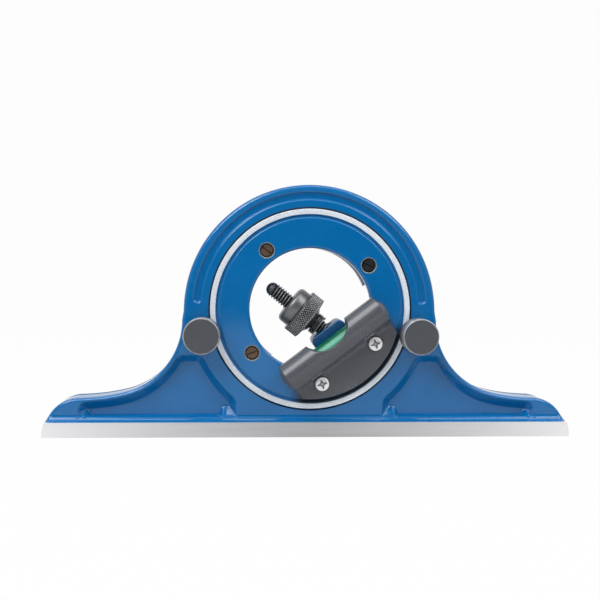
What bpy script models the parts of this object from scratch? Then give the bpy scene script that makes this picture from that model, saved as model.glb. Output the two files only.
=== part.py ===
"""Protractor head of a combination square, standing on its ground base.

The base face lies on Z = 0 and runs along X. The level side faces -Y and the
side that takes the steel rule faces +Y. The origin is the middle of the base.
All lengths are in metres.
"""

from math import asin, atan2, cos, hypot, pi, radians, sin, sqrt, tan

import bmesh
import bpy
from mathutils import Matrix, Vector

mm = 0.001

# Shared fits
running_gap = 0.3 * mm
bore_gap = 0.35 * mm
overrun = 2.0 * mm

# Body casting
base_length = 178.0 * mm
base_depth = 16.0 * mm
web_depth = 13.0 * mm
flange_height = 5.0 * mm
ledge_rise = 2.3 * mm
axis_height = 43.0 * mm
arch_radius = 42.75 * mm
arch_drop = 0.7 * mm
flank_radius = 25.2 * mm
flank_step = 0.5 * mm
flank_drop = 3.2 * mm
flank_sweep = radians(75.0)
tip_reach = 11.2 * mm
tip_height = 12.6 * mm
tip_foot = 0.5 * mm
tip_slope = radians(2.0)
body_rounding = 1.1 * mm
lip_depth = 9.1 * mm

# Pockets in both faces of the body
pocket_depth = 2.8 * mm
pocket_top = 27.5 * mm
pocket_foot_rise = 0.3 * mm
flank_rim = 1.2 * mm
shoulder_rim = 0.9 * mm
tail_setback = 11.2 * mm
pocket_corner = 1.6 * mm

# Ornamental channel round the arch
channel_width = 2.7 * mm
channel_depth = 0.8 * mm
channel_end = radians(4.0)

# Turret
turret_angle = radians(37.2)
ring_width = 1.8 * mm
groove_width = 1.4 * mm
groove_depth = 0.9 * mm
ring_thickness = 3.6 * mm
hub_proud = 0.2 * mm
opening_land = 3.0 * mm
edge_break = 0.4 * mm

# Rule seat and dial plate
seat_offset = 5.75 * mm
rule_width = 25.4 * mm
dial_thickness = 2.2 * mm

# Dial screws
dial_screw_head_radius = 1.92 * mm
dial_screw_head_height = 1.9 * mm
dial_screw_sunk = 0.5 * mm
dial_screw_shank = 1.1 * mm
dial_screw_slot = 0.5 * mm
dial_screw_slot_depth = 0.7 * mm
dial_screw_skin = 0.3 * mm

# Boss in the opening, which the draw bolt swings in
boss_width = 13.0 * mm
boss_corner = 2.0 * mm
boss_top = 8.55 * mm
boss_length = 5.2 * mm
boss_inset = 0.6 * mm
pivot_offset = 11.1 * mm
throat_flare = radians(18.0)
slot_half_width = 4.4 * mm
slot_clearance = 1.95 * mm

# Draw bolt, clamp nut and clamp spring
bolt_depth_in_web = 6.5 * mm
bolt_radius = 2.4 * mm
bolt_tip = 26.6 * mm
bolt_tip_round = 1.0 * mm
bolt_swing = radians(14.4)
bolt_pitch = 1.058 * mm
shank_radius = 1.6 * mm
shank_start = 3.2 * mm
hook_length = 2.8 * mm
hook_width = 2.6 * mm
hook_bite = 0.9 * mm
nut_start = 6.8 * mm
nut_nose_radius = 3.4 * mm
nut_nose_length = 1.6 * mm
nut_radius = 7.93 * mm
nut_drum_length = 4.75 * mm
nut_neck_radius = 6.2 * mm
nut_neck_length = 0.35 * mm
nut_dome_radius = 6.7 * mm
nut_dome_length = 4.0 * mm
nut_dome_round = 1.9 * mm
spring_wire = 0.6 * mm
spring_radius = 3.5 * mm
spring_start = 4.1 * mm
spring_pitch = 1.05 * mm
spring_turns = 2
points_per_turn = 10

# Level
barrel_radius = 5.2 * mm
barrel_length = 39.0 * mm
barrel_shift = -0.8 * mm
barrel_standoff = 4.3 * mm
holder_thickness = 2.0 * mm
scoop_half_length = 8.0 * mm
scoop_half_height = 5.7 * mm
vial_radius = 2.85 * mm
vial_wall = 0.6 * mm
bubble_length = 5.0 * mm
bubble_place = 11.0 * mm
plug_radius = 4.15 * mm
plug_depth = 2.6 * mm
plug_dome = 1.7 * mm

# Level screws
level_screw_clearance = 3.3 * mm
level_screw_head_radius = 2.35 * mm
level_screw_head_height = 1.3 * mm
level_screw_head_round = 0.4 * mm
level_screw_shank = 1.25 * mm
level_screw_length = 7.0 * mm
level_screw_spot = 0.6 * mm
recess_length = 2.6 * mm
recess_width = 0.6 * mm
recess_depth = 0.8 * mm

# Turret locks
lock_nut_radius = 6.07 * mm
lock_nut_height = 8.0 * mm
lock_nut_chamfer = 0.37 * mm
lock_nut_cap = 2.3 * mm
lock_bolt_radius = 2.0 * mm
lock_bolt_end_gap = 0.6 * mm
lock_head_width = 5.6 * mm
lock_head_height = 2.2 * mm
lock_head_sunk = 0.7 * mm

# What follows the arch, as shares of its radius
rib_share = 0.9205
rib_foot_share = 0.5778
channel_share = 0.8947
ring_share = 0.793
hub_share = 0.7392
opening_share = 0.4819
opening_front_share = 0.524
dial_inner_share = 0.4912
dial_screw_share = 0.5778
holder_share = 0.7088
barrel_offset_share = 0.3251
level_screw_spacing_share = 0.5263
lock_spread_share = 0.8515
lock_drop_share = 0.2058

# Facets
arch_steps = 28
flank_steps = 12
shoulder_steps = 8
tip_steps = 8
large_steps = 96
middle_steps = 40
small_steps = 20
round_steps = 4

# Radii and places that follow the arch
rib_radius = rib_share * arch_radius
rib_foot = rib_foot_share * arch_radius
channel_radius = channel_share * arch_radius
ring_radius = ring_share * arch_radius
hub_radius = hub_share * arch_radius
opening_radius = opening_share * arch_radius
opening_front_radius = opening_front_share * arch_radius
dial_inner_radius = dial_inner_share * arch_radius
dial_screw_circle = dial_screw_share * arch_radius
holder_radius = holder_share * arch_radius
barrel_offset = barrel_offset_share * arch_radius
scoop_offset = barrel_offset - scoop_half_height
level_screw_spacing = level_screw_spacing_share * arch_radius
level_screw_offset = barrel_offset + barrel_radius + level_screw_clearance
lock_spread = lock_spread_share * arch_radius
lock_drop = lock_drop_share * arch_radius

# Places that several pieces share
web_front = base_depth / 2
web_back = web_front - web_depth
lip_back = web_front - lip_depth
turret_front = web_front + hub_proud
flange_front = web_back + ring_thickness
dial_back = turret_front + running_gap
dial_front = dial_back + dial_thickness
bolt_axis_y = web_back + bolt_depth_in_web
holder_back = web_back - running_gap
holder_face = holder_back - holder_thickness
barrel_axis_y = holder_back - barrel_standoff
holder_bore = vial_radius + running_gap
ledge_top = flange_height + ledge_rise
arch_centre = (0.0, axis_height - arch_drop)
flank_centre = (arch_radius + flank_step + flank_radius, axis_height - arch_drop - flank_drop)
hook_centre = seat_offset + rule_width / 2 - pivot_offset
bolt_end = hook_centre + hook_length / 2
slot_end = pivot_offset + bolt_end + slot_clearance
nut_drum_start = nut_start + nut_nose_length
nut_drum_end = nut_drum_start + nut_drum_length
nut_end = nut_drum_end + nut_neck_length + nut_dome_length

parts = None
cutters = None


def new_collection(name):
    """Return an empty collection linked to the scene."""
    group = bpy.data.collections.get(name) or bpy.data.collections.new(name)
    if group.name not in bpy.context.scene.collection.children:
        bpy.context.scene.collection.children.link(group)
    return group


def finish(name, colour, roughness, metallic):
    """Return a plain material with the colour and gloss of one surface."""
    material = bpy.data.materials.new(name)
    material.use_nodes = True
    shader = material.node_tree.nodes["Principled BSDF"]
    shader.inputs["Base Color"].default_value = (*colour, 1.0)
    shader.inputs["Roughness"].default_value = roughness
    shader.inputs["Metallic"].default_value = metallic
    material.diffuse_color = (*colour, 1.0)
    return material


def add_frame(name, parent, place, turn):
    """Add an empty whose origin lies on a joint's axis, turned about Y."""
    frame = bpy.data.objects.new(name, None)
    frame.empty_display_size = arch_radius / 5
    parts.objects.link(frame)
    frame.parent = parent
    frame.location = place
    frame.rotation_euler = (0.0, turn, 0.0)
    return frame


def add_object(name, mesh, frame, group, material=None):
    """Link a mesh as an object that rides in the given frame."""
    item = bpy.data.objects.new(name, mesh)
    group.objects.link(item)
    item.parent = frame
    if material:
        mesh.materials.clear()
        mesh.materials.append(material)
    if group is cutters:
        item.hide_render = True
        item.display_type = "WIRE"
    return item


def evaluated_mesh(item):
    """Return a copy of the object's mesh with its modifiers applied."""
    bpy.context.view_layer.update()
    graph = bpy.context.evaluated_depsgraph_get()
    return bpy.data.meshes.new_from_object(item.evaluated_get(graph))


def settle(item, material):
    """Keep the evaluated mesh as the object's own, shaded smooth up to its sharp edges."""
    mesh = evaluated_mesh(item)
    item.modifiers.clear()
    item.data = mesh
    mesh.materials.clear()
    mesh.materials.append(material)
    mesh.shade_smooth()
    mesh.set_sharp_from_angle(angle=radians(32.0))
    return item


def combine(item, other, operation, solver="EXACT"):
    """Add, cut away or keep in common the other object's volume."""
    step = item.modifiers.new(other.name, "BOOLEAN")
    step.operation = operation
    step.object = other
    step.solver = solver


def join(item, other):
    """Join the other object to one of the three large solids, which the manifold solver keeps closed."""
    combine(item, other, "UNION", "MANIFOLD")


def cut(item, other):
    """Cut the other object out of one of the three large solids."""
    combine(item, other, "DIFFERENCE", "MANIFOLD")


def outline_mesh(name, points, depth, centre, across="Y", wall_run=0.0):
    """Fill a flat outline and give it depth along Y, or along X with its outline in Y and Z.

    With a wall run, both ends of the solid are chamfered outwards from the given
    outline by that run, so the outline is that of the smaller end faces.
    """
    curve = bpy.data.curves.new(name, "CURVE")
    curve.dimensions = "2D"
    curve.fill_mode = "BOTH"
    curve.extrude = depth / 2 - wall_run
    curve.bevel_depth = wall_run
    curve.bevel_resolution = 0
    spline = curve.splines.new("POLY")
    spline.points.add(len(points) - 1)
    for point, (a, b) in zip(spline.points, points):
        point.co = (a, b, 0.0, 1.0)
    spline.use_cyclic_u = True
    guide = bpy.data.objects.new(name, curve)
    bpy.context.scene.collection.objects.link(guide)
    mesh = evaluated_mesh(guide)
    bpy.data.objects.remove(guide)
    weld(mesh)
    if across == "Y":
        turn = Matrix(((1, 0, 0), (0, 0, -1), (0, 1, 0)))
        shift = Matrix.Translation((0.0, centre, 0.0))
    else:
        turn = Matrix(((0, 0, 1), (1, 0, 0), (0, 1, 0)))
        shift = Matrix.Translation((centre, 0.0, 0.0))
    mesh.transform(shift @ turn.to_4x4())
    return mesh


def weld(mesh):
    """Join doubled points and turn every face outwards."""
    shape = bmesh.new()
    shape.from_mesh(mesh)
    bmesh.ops.remove_doubles(shape, verts=shape.verts, dist=running_gap / 1000)
    bmesh.ops.recalc_face_normals(shape, faces=shape.faces)
    shape.to_mesh(mesh)
    shape.free()


def turned(name, profile, frame, group, steps, along="Z", place=(0.0, 0.0, 0.0), closed=False):
    """Turn a profile of (radius, height) points, given down its outer side, round an axis.

    The axis is the frame's own Z, Y or X, through the given place.
    """
    mesh = bpy.data.meshes.new(name)
    count = len(profile)
    edges = [(i, i + 1) for i in range(count - 1)]
    if closed:
        edges.append((count - 1, 0))
    mesh.from_pydata([(radius, 0.0, height) for radius, height in profile], edges, [])
    item = add_object(name, mesh, frame, group)
    item.location = place
    item.rotation_euler = {"Z": (0.0, 0.0, 0.0), "Y": (-pi / 2, 0.0, 0.0), "X": (0.0, pi / 2, 0.0)}[along]
    screw = item.modifiers.new("turned", "SCREW")
    screw.axis = "Z"
    screw.steps = steps
    screw.render_steps = steps
    screw.use_merge_vertices = True
    screw.merge_threshold = running_gap / 100
    screw.use_smooth_shade = True
    return item


def drill(name, radius, low, high, frame, place, along="Y", steps=small_steps):
    """Return a plain round cutter from the low to the high height on its axis."""
    profile = [(0.0, high), (radius, high), (radius, low), (0.0, low)]
    return turned(name, profile, frame, cutters, steps, along, place)


def block(name, size, centre, frame, group, turn=0.0):
    """Add a box of the given size, turned about Y round its own centre."""
    mesh = bpy.data.meshes.new(name)
    shape = bmesh.new()
    bmesh.ops.create_cube(shape, size=1.0, matrix=Matrix.Diagonal((*size, 1.0)))
    shape.to_mesh(mesh)
    shape.free()
    item = add_object(name, mesh, frame, group)
    item.location = centre
    item.rotation_euler = (0.0, turn, 0.0)
    return item


def arc(centre, radius, start, end, steps):
    """Return points along an arc, both ends included."""
    angles = [start + (end - start) * i / steps for i in range(steps + 1)]
    return [(centre[0] + radius * cos(a), centre[1] + radius * sin(a)) for a in angles]


def bent(start, start_heading, end, end_heading, steps):
    """Return points on a cubic curve between two points with the given headings."""
    reach = hypot(end[0] - start[0], end[1] - start[1]) / 3
    first = (start[0] + reach * cos(start_heading), start[1] + reach * sin(start_heading))
    last = (end[0] - reach * cos(end_heading), end[1] - reach * sin(end_heading))
    points = []
    for i in range(steps + 1):
        t = i / steps
        w = ((1 - t) ** 3, 3 * t * (1 - t) ** 2, 3 * t * t * (1 - t), t ** 3)
        corners = (start, first, last, end)
        points.append(tuple(sum(k * p[n] for k, p in zip(w, corners)) for n in (0, 1)))
    return points


def wing_edge(set_in_flank=0.0, set_in_shoulder=0.0):
    """Return the right flank and shoulder, moved into the body by the two given widths."""
    flank = arc(flank_centre, flank_radius + set_in_flank, pi, pi + flank_sweep, flank_steps)
    heading = flank_sweep - pi / 2
    tip = (base_length / 2 - tip_reach, tip_height - set_in_shoulder)
    shoulder = bent(flank[-1], heading, tip, -tip_slope, shoulder_steps)
    return flank + shoulder[1:]


def body_outline():
    """Return the casting's outline in X and Z, from the crown clockwise to the crown."""
    half = base_length / 2
    arch = arc(arch_centre, arch_radius, pi / 2, 0.0, arch_steps)
    tip = []
    for i in range(1, tip_steps + 1):
        turn = pi / 2 * i / tip_steps
        tip.append((half - tip_reach * (1 - sin(turn)), tip_foot + (tip_height - tip_foot) * cos(turn)))
    right = arch[1:] + wing_edge() + tip + [(half, 0.0)]
    left = [(-x, z) for x, z in reversed(right)]
    return arch[:1] + right + left


def pocket_floor():
    """Return the outline of the right pocket's floor; its walls rise outwards from it at 45 degrees."""
    inner = rib_radius + pocket_depth
    foot = rib_foot + pocket_depth
    top = pocket_top - pocket_depth
    low = asin((axis_height - top) / inner)
    high = atan2(sqrt(inner ** 2 - foot ** 2), foot)
    rib = arc((0.0, axis_height), inner, -high, -low, flank_steps)
    edge = wing_edge(flank_rim + pocket_depth, shoulder_rim + pocket_depth)
    end = base_length / 2 - tail_setback - pocket_depth
    edge = [(x, z) for x, z in edge if z < top and x < end]
    reach = flank_radius + flank_rim + pocket_depth
    corner = (flank_centre[0] - sqrt(reach ** 2 - (flank_centre[1] - top) ** 2), top)
    foot_line = flange_height
    points = [(foot, foot_line)] + rib + [corner] + edge + [(end, edge[-1][1]), (end, foot_line)]
    return soften(points, pocket_corner)


def soften(points, radius):
    """Round the corners of an outline that turn by more than 25 degrees."""
    result = []
    count = len(points)
    for i, here in enumerate(points):
        before, after = Vector(points[i - 1]), Vector(points[(i + 1) % count])
        here = Vector(here)
        inward, outward = (before - here), (after - here)
        bend = pi - inward.angle(outward)
        room = min(inward.length, outward.length) / 2
        if bend < radians(25.0):
            result.append(tuple(here))
            continue
        cut = min(radius * tan(bend / 2), room)
        first, last = here + inward.normalized() * cut, here + outward.normalized() * cut
        for n in range(round_steps + 1):
            t = n / round_steps
            point = first * (1 - t) ** 2 + here * 2 * t * (1 - t) + last * t * t
            result.append(tuple(point))
    return result


def pocket_cutter(name, side, face, outward, frame):
    """Return a cutter for one pocket: side is +1 or -1 along X, outward +1 or -1 along Y."""
    points = [(side * x, z) for x, z in pocket_floor()]
    depth = 2 * (overrun + pocket_depth)
    mesh = outline_mesh(name, points, depth, face + outward * overrun, wall_run=pocket_depth)
    cutter = add_object(name, mesh, frame, cutters)
    low = ledge_top + pocket_foot_rise
    size = (base_length, 2 * depth, axis_height)
    keep = block(name + "_keep", size, (0.0, face, low + axis_height / 2), frame, cutters)
    combine(cutter, keep, "INTERSECT")
    return cutter


def relief_cutter(frame):
    """Return the cutter that leaves the ledge of the base and its fillet up to the web."""
    centre = (web_back - ledge_rise, ledge_top)
    fillet = arc(centre, ledge_rise, 0.0, -pi / 2, 2 * round_steps)
    top = axis_height + arch_radius + overrun
    outer = -base_depth / 2 - overrun
    points = [(web_back, top)] + fillet + [(outer, flange_height), (outer, top)]
    mesh = outline_mesh("back_relief", points, base_length + 2 * overrun, 0.0, across="X")
    return add_object("back_relief", mesh, frame, cutters)


def mark_rounded_edges(mesh):
    """Give full bevel weight to the casting's outer edges on both faces above the base."""
    weight = mesh.attributes.new("bevel_weight_edge", "FLOAT", "EDGE")
    near = running_gap / 10
    for edge in mesh.edges:
        ends = [mesh.vertices[i].co for i in edge.vertices]
        for face in (web_back, web_front):
            low = ledge_top if face == web_back else near
            if all(abs(end.y - face) < near and end.z > low + near for end in ends):
                weight.data[edge.index].value = 1.0


def channel_cutter(frame):
    """Return a round-bottomed arc cutter for the channel over the arch."""
    section = (channel_width ** 2 / 4 + channel_depth ** 2) / (2 * channel_depth)
    curve = bpy.data.curves.new("arch_channel", "CURVE")
    curve.dimensions = "3D"
    curve.bevel_depth = section
    curve.bevel_resolution = 3
    curve.use_fill_caps = True
    points = arc((0.0, axis_height), channel_radius, channel_end, pi - channel_end, 2 * arch_steps)
    spline = curve.splines.new("POLY")
    spline.points.add(len(points) - 1)
    depth = web_back - section + channel_depth
    for point, (x, z) in zip(spline.points, points):
        point.co = (x, depth, z, 1.0)
    guide = bpy.data.objects.new("arch_channel", curve)
    bpy.context.scene.collection.objects.link(guide)
    mesh = evaluated_mesh(guide)
    bpy.data.objects.remove(guide)
    weld(mesh)
    return add_object("arch_channel", mesh, frame, cutters)


def lock_place(side):
    """Return the point on the lock's axis in the body's frame."""
    return (side * lock_spread, 0.0, axis_height - lock_drop)


def lock_turn(side):
    """Return the turn about Y that lines the lock bolt's square head up with the turret's centre."""
    return side * atan2(lock_drop, lock_spread)


def make_body(frame, paint):
    """Cast body: arch, wings and base in one piece, bored for the turret and drilled for the locks."""
    mesh = outline_mesh("protractor_body", body_outline(), base_depth, 0.0)
    body = add_object("protractor_body", mesh, frame, parts)
    cut(body, relief_cutter(frame))
    body.data = evaluated_mesh(body)
    body.modifiers.clear()
    mark_rounded_edges(body.data)
    bevel = body.modifiers.new("rounded_edges", "BEVEL")
    bevel.limit_method = "WEIGHT"
    bevel.width = body_rounding
    bevel.segments = 2
    centre = (0.0, 0.0, axis_height)
    ring_bore = ring_radius + bore_gap
    hub_bore = hub_radius + bore_gap
    steps = large_steps
    cut(body, drill("ring_bore", ring_bore, web_back - overrun, lip_back, frame, centre, "Y", steps))
    through = drill("hub_bore", hub_bore, web_back - overrun, web_front + overrun, frame, centre, "Y", steps)
    cut(body, through)
    for side, word in ((-1, "left"), (1, "right")):
        for face, outward, place in ((web_back, -1, "back"), (web_front, 1, "front")):
            cut(body, pocket_cutter(f"pocket_{word}_{place}", side, face, outward, frame))
        hole = lock_bolt_radius + running_gap
        cut(body, drill(f"lock_hole_{word}", hole, web_back - overrun, web_front + overrun, frame,
                            lock_place(side)))
        width = lock_head_width + 2 * running_gap
        depth = lock_head_sunk + lock_head_height + running_gap
        x, _, z = lock_place(side)
        size = (width, 2 * depth, width)
        cut(body, block(f"lock_recess_{word}", size, (x, web_front, z), frame, cutters, lock_turn(side)))
    cut(body, channel_cutter(frame))
    return settle(body, paint)


def make_turret(frame, paint):
    """Turret: back ring in the body's counterbore, hub through the lip, and the boss across the opening."""
    ring_inner = ring_radius - ring_width
    groove_inner = ring_inner - groove_width
    groove_floor = web_back + groove_depth
    profile = [
        (hub_radius, turret_front),
        (hub_radius, flange_front),
        (ring_radius, flange_front),
        (ring_radius, web_back),
        (ring_inner, web_back),
        (ring_inner, groove_floor),
        (groove_inner, groove_floor),
        (groove_inner, web_back),
        (opening_radius + edge_break, web_back),
        (opening_radius, web_back + edge_break),
        (opening_radius, web_back + opening_land),
        (opening_front_radius, turret_front),
    ]
    turret = turned("turret", profile, frame, parts, large_steps, "Y", closed=True)
    tongue_end = (opening_radius + hub_radius) / 2
    depth = web_depth - 2 * boss_inset
    middle = (web_back + web_front) / 2
    half = boss_width / 2
    points = arc((half - boss_corner, -boss_top - boss_corner), boss_corner, 0.0, pi / 2, round_steps)
    points += arc((boss_corner - half, -boss_top - boss_corner), boss_corner, pi / 2, pi, round_steps)
    points += [(-half, -tongue_end), (half, -tongue_end)]
    tongue = add_object("boss", outline_mesh("boss", points, depth, middle), frame, cutters)
    join(turret, tongue)
    slot_floor = bolt_axis_y - bolt_radius - running_gap
    slot_start = boss_top + boss_length
    size = (2 * slot_half_width, 2 * (turret_front - slot_floor), slot_end - slot_start)
    slot = block("hook_slot", size, (0.0, turret_front, -(slot_start + slot_end) / 2), frame, cutters)
    cut(turret, slot)
    throat = bolt_radius + bore_gap
    reach = slot_start - pivot_offset + overrun
    flare = throat + reach * tan(throat_flare)
    hourglass = [(0.0, reach), (flare, reach), (throat, 0.0), (flare, -reach), (0.0, -reach)]
    bore = turned("bolt_throat", hourglass, frame, cutters, small_steps, "Z",
                  (0.0, bolt_axis_y, -pivot_offset))
    cut(turret, bore)
    for name, x, z in dial_screw_places():
        head = dial_screw_head_radius + 1.6 * running_gap
        floor = web_back + dial_screw_sunk + dial_screw_head_height + running_gap
        cut(turret, drill("seat_" + name, head, web_back - overrun, floor, frame, (x, 0.0, z)))
        shank = dial_screw_shank + running_gap
        cut(turret, drill("way_" + name, shank, web_back, turret_front + overrun, frame, (x, 0.0, z)))
    for name, x, z in level_screw_places():
        shank = level_screw_shank + running_gap
        floor = level_screw_end() + running_gap
        cut(turret, drill("thread_" + name, shank, web_back - overrun, floor, frame, (x, 0.0, z)))
    return settle(turret, paint)


def dial_screw_places():
    """Return name, X and Z of the dial screws in the turret's frame."""
    circle = dial_screw_circle
    return (("dial_screw_top", 0.0, circle), ("dial_screw_right", circle, 0.0),
            ("dial_screw_left", -circle, 0.0))


def level_screw_places():
    """Return name, X and Z of the level screws in the turret's frame."""
    half = level_screw_spacing / 2
    return (("level_screw_upper", barrel_shift + half, -level_screw_offset),
            ("level_screw_lower", barrel_shift - half, -level_screw_offset))


def level_screw_end():
    """Return the Y of the level screws' ends inside the turret."""
    return holder_face + level_screw_spot - running_gap + level_screw_length


def make_dial_plate(frame, steel):
    """Plate that carries the degree scale and, with its straight edge, seats the rule."""
    outer_low = asin(seat_offset / ring_radius)
    inner_low = asin(seat_offset / dial_inner_radius)
    outer = arc((0.0, 0.0), ring_radius, -outer_low, pi + outer_low, large_steps)
    inner = arc((0.0, 0.0), dial_inner_radius, pi + inner_low, -inner_low, large_steps)
    middle = (dial_back + dial_front) / 2
    mesh = outline_mesh("dial_plate", outer + inner, dial_thickness, middle)
    plate = add_object("dial_plate", mesh, frame, parts)
    for name, x, z in dial_screw_places():
        hole = dial_screw_shank + running_gap
        combine(plate, drill("plate_" + name, hole, dial_back - overrun, dial_front - dial_screw_skin, frame,
                             (x, 0.0, z)), "DIFFERENCE")
    return settle(plate, steel)


def make_dial_screws(frame, bronze):
    """Three slotted screws from the back through the turret into the dial plate."""
    turns = (radians(37.0), radians(22.0), radians(-22.0))
    for (name, x, z), turn in zip(dial_screw_places(), turns):
        top = web_back + dial_screw_sunk
        under = top + dial_screw_head_height
        end = dial_front - dial_screw_skin - running_gap
        profile = [(0.0, end), (dial_screw_shank, end), (dial_screw_shank, under),
                   (dial_screw_head_radius, under), (dial_screw_head_radius, top), (0.0, top)]
        screw = turned(name, profile, frame, parts, small_steps, "Y", (x, 0.0, z))
        size = (3 * dial_screw_head_radius, 2 * dial_screw_slot_depth, dial_screw_slot)
        slot = block("slot_" + name, size, (x, top, z), frame, cutters, turn + turret_angle)
        combine(screw, slot, "DIFFERENCE")
        settle(screw, bronze)


def barrel_ends():
    """Return the lower and the upper X of the level barrel in the turret's frame."""
    return barrel_shift - barrel_length / 2, barrel_shift + barrel_length / 2


def make_level_holder(frame, black):
    """Holder: round barrel for the vial, and a flat segment that is screwed to the turret."""
    low, high = barrel_ends()
    place = (0.0, barrel_axis_y, -barrel_offset)
    profile = [(0.0, high), (barrel_radius, high), (barrel_radius, low), (0.0, low)]
    holder = turned("level_holder", profile, frame, parts, middle_steps, "X", place)
    half_angle = asin((barrel_length / 2 - abs(barrel_shift)) / holder_radius)
    start = -pi / 2 - half_angle
    rim = arc((0.0, 0.0), holder_radius, start, -pi / 2 + half_angle, arch_steps)
    low_corner = (low, -sqrt(holder_radius ** 2 - low ** 2))
    high_corner = (high, -sqrt(holder_radius ** 2 - high ** 2))
    rim = [low_corner] + [p for p in rim if low < p[0] < high] + [high_corner]
    points = rim + [(high, -barrel_offset), (low, -barrel_offset)]
    mesh = outline_mesh("holder_segment", points, holder_thickness, (holder_face + holder_back) / 2)
    join(holder, add_object("holder_segment", mesh, frame, cutters))
    size = (2 * barrel_length, 2 * barrel_radius, 2 * holder_radius)
    back = block("holder_back", size, (0.0, holder_back + barrel_radius, -barrel_offset), frame, cutters)
    cut(holder, back)
    bore = drill("vial_bore", holder_bore, low - overrun, high + overrun, frame, place, "X", middle_steps)
    cut(holder, bore)
    seat = plug_radius + running_gap
    depth = plug_depth + running_gap
    cut(holder, drill("plug_seat_upper", seat, high - depth, high + overrun, frame, place, "X",
                          middle_steps))
    cut(holder, drill("plug_seat_lower", seat, low - overrun, low + depth, frame, place, "X",
                          middle_steps))
    cut(holder, scoop_cutter(frame))
    for name, x, z in level_screw_places():
        shank = level_screw_shank + running_gap
        head = level_screw_head_radius + running_gap
        spot = holder_face + level_screw_spot
        cut(holder, drill("hole_" + name, shank, holder_face - overrun, web_back, frame, (x, 0.0, z)))
        cut(holder, drill("spot_" + name, head, holder_face - overrun, spot, frame, (x, 0.0, z)))
    return settle(holder, black)


def scoop_cutter(frame):
    """Return the oval cutter that opens the barrel over the middle of the vial."""
    points = []
    for i in range(middle_steps):
        turn = 2 * pi * i / middle_steps
        x = barrel_shift + scoop_half_length * cos(turn)
        points.append((x, -scoop_offset + scoop_half_height * sin(turn)))
    depth = 4 * barrel_radius
    mesh = outline_mesh("vial_window", points, depth, barrel_axis_y)
    return add_object("vial_window", mesh, frame, cutters)


def make_vial(frame, glass, fluid):
    """Glass tube and the green fluid in it, with the bubble at the higher end."""
    low, high = barrel_ends()
    low, high = low + plug_depth + 2 * running_gap, high - plug_depth - 2 * running_gap
    place = (0.0, barrel_axis_y, -barrel_offset)
    inner = vial_radius - vial_wall
    profile = [(vial_radius, high), (vial_radius, low), (inner, low), (inner, high)]
    tube = turned("vial_glass", profile, frame, parts, middle_steps, "X", place, closed=True)
    settle(tube, glass)
    radius = inner - running_gap
    profile = [(0.0, high), (radius, high), (radius, low), (0.0, low)]
    column = turned("vial_fluid", profile, frame, parts, middle_steps, "X", place)
    bubble = turned("bubble", bubble_profile(radius), frame, cutters, small_steps, "X",
                    (bubble_place, barrel_axis_y, radius - barrel_offset))
    combine(column, bubble, "DIFFERENCE")
    settle(column, fluid)


def bubble_profile(radius):
    """Return a long oval whose width is the fluid's radius."""
    points = []
    for i in range(2 * round_steps + 1):
        turn = pi * i / (2 * round_steps)
        points.append((radius / 2 * sin(turn), bubble_length / 2 * cos(turn)))
    return points


def make_plugs(frame, black):
    """Domed plugs that close both ends of the barrel."""
    low, high = barrel_ends()
    for name, end, way in (("vial_plug_upper", high, 1), ("vial_plug_lower", low, -1)):
        sphere = (plug_radius ** 2 + plug_dome ** 2) / (2 * plug_dome)
        spread = asin(plug_radius / sphere)
        dome = []
        for i in range(round_steps + 1):
            turn = spread * i / round_steps
            dome.append((sphere * sin(turn), plug_dome - sphere * (1 - cos(turn))))
        profile = dome + [(plug_radius, -plug_depth), (0.0, -plug_depth)]
        plug = turned(name, profile, frame, parts, middle_steps, "X",
                      (end, barrel_axis_y, -barrel_offset))
        plug.rotation_euler = (0.0, way * pi / 2, 0.0)
        settle(plug, black)


def make_level_screws(frame, bright):
    """Two cross-recessed screws that hold the level to the turret."""
    for name, x, z in level_screw_places():
        under = holder_face + level_screw_spot - running_gap
        top = under - level_screw_head_height
        edge = level_screw_head_round
        profile = [(0.0, level_screw_end()), (level_screw_shank, level_screw_end()),
                   (level_screw_shank, under), (level_screw_head_radius, under),
                   (level_screw_head_radius, top + edge), (level_screw_head_radius - edge, top), (0.0, top)]
        screw = turned(name, profile, frame, parts, small_steps, "Y", (x, 0.0, z))
        for word, turn in (("first", 0.0), ("second", pi / 2)):
            size = (recess_length, 2 * recess_depth, recess_width)
            combine(screw, block(f"cross_{word}_{name}", size, (x, top, z), frame, cutters, turn),
                    "DIFFERENCE")
        settle(screw, bright)


def make_draw_bolt(frame, black):
    """Bolt with a hook that draws the rule against its seat; Z of the frame is its axis."""
    edge = bolt_tip_round
    profile = [(0.0, bolt_tip)]
    for i in range(round_steps + 1):
        turn = pi / 2 * i / round_steps
        profile.append((bolt_radius - edge * (1 - sin(turn)), bolt_tip - edge * (1 - cos(turn))))
    profile += [(bolt_radius, -shank_start), (shank_radius, -shank_start),
                (shank_radius, -bolt_end), (0.0, -bolt_end)]
    bolt = turned("draw_bolt", profile, frame, parts, small_steps)
    reach = turret_front + hook_bite - bolt_axis_y
    size = (hook_width, reach, hook_length)
    hook = block("hook", size, (0.0, reach / 2, -hook_centre), frame, cutters)
    combine(bolt, hook, "UNION")
    return settle(bolt, black)


def make_clamp_nut(frame, black):
    """Knurled nut with a domed collar, on the bolt outside the spring."""
    edge = nut_dome_round
    bore = bolt_radius + running_gap
    neck_end = nut_drum_end + nut_neck_length
    profile = [(bore, nut_end)]
    for i in range(round_steps + 1):
        turn = pi / 2 * i / round_steps
        profile.append((nut_dome_radius - edge * (1 - sin(turn)), nut_end - edge * (1 - cos(turn))))
    profile += [(nut_dome_radius, neck_end), (nut_neck_radius, neck_end), (nut_neck_radius, nut_drum_end),
                (nut_radius, nut_drum_end), (nut_radius, nut_drum_start), (nut_nose_radius, nut_start),
                (bore, nut_start)]
    nut = turned("clamp_nut", profile, frame, parts, middle_steps, closed=True)
    return settle(nut, black)


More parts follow.
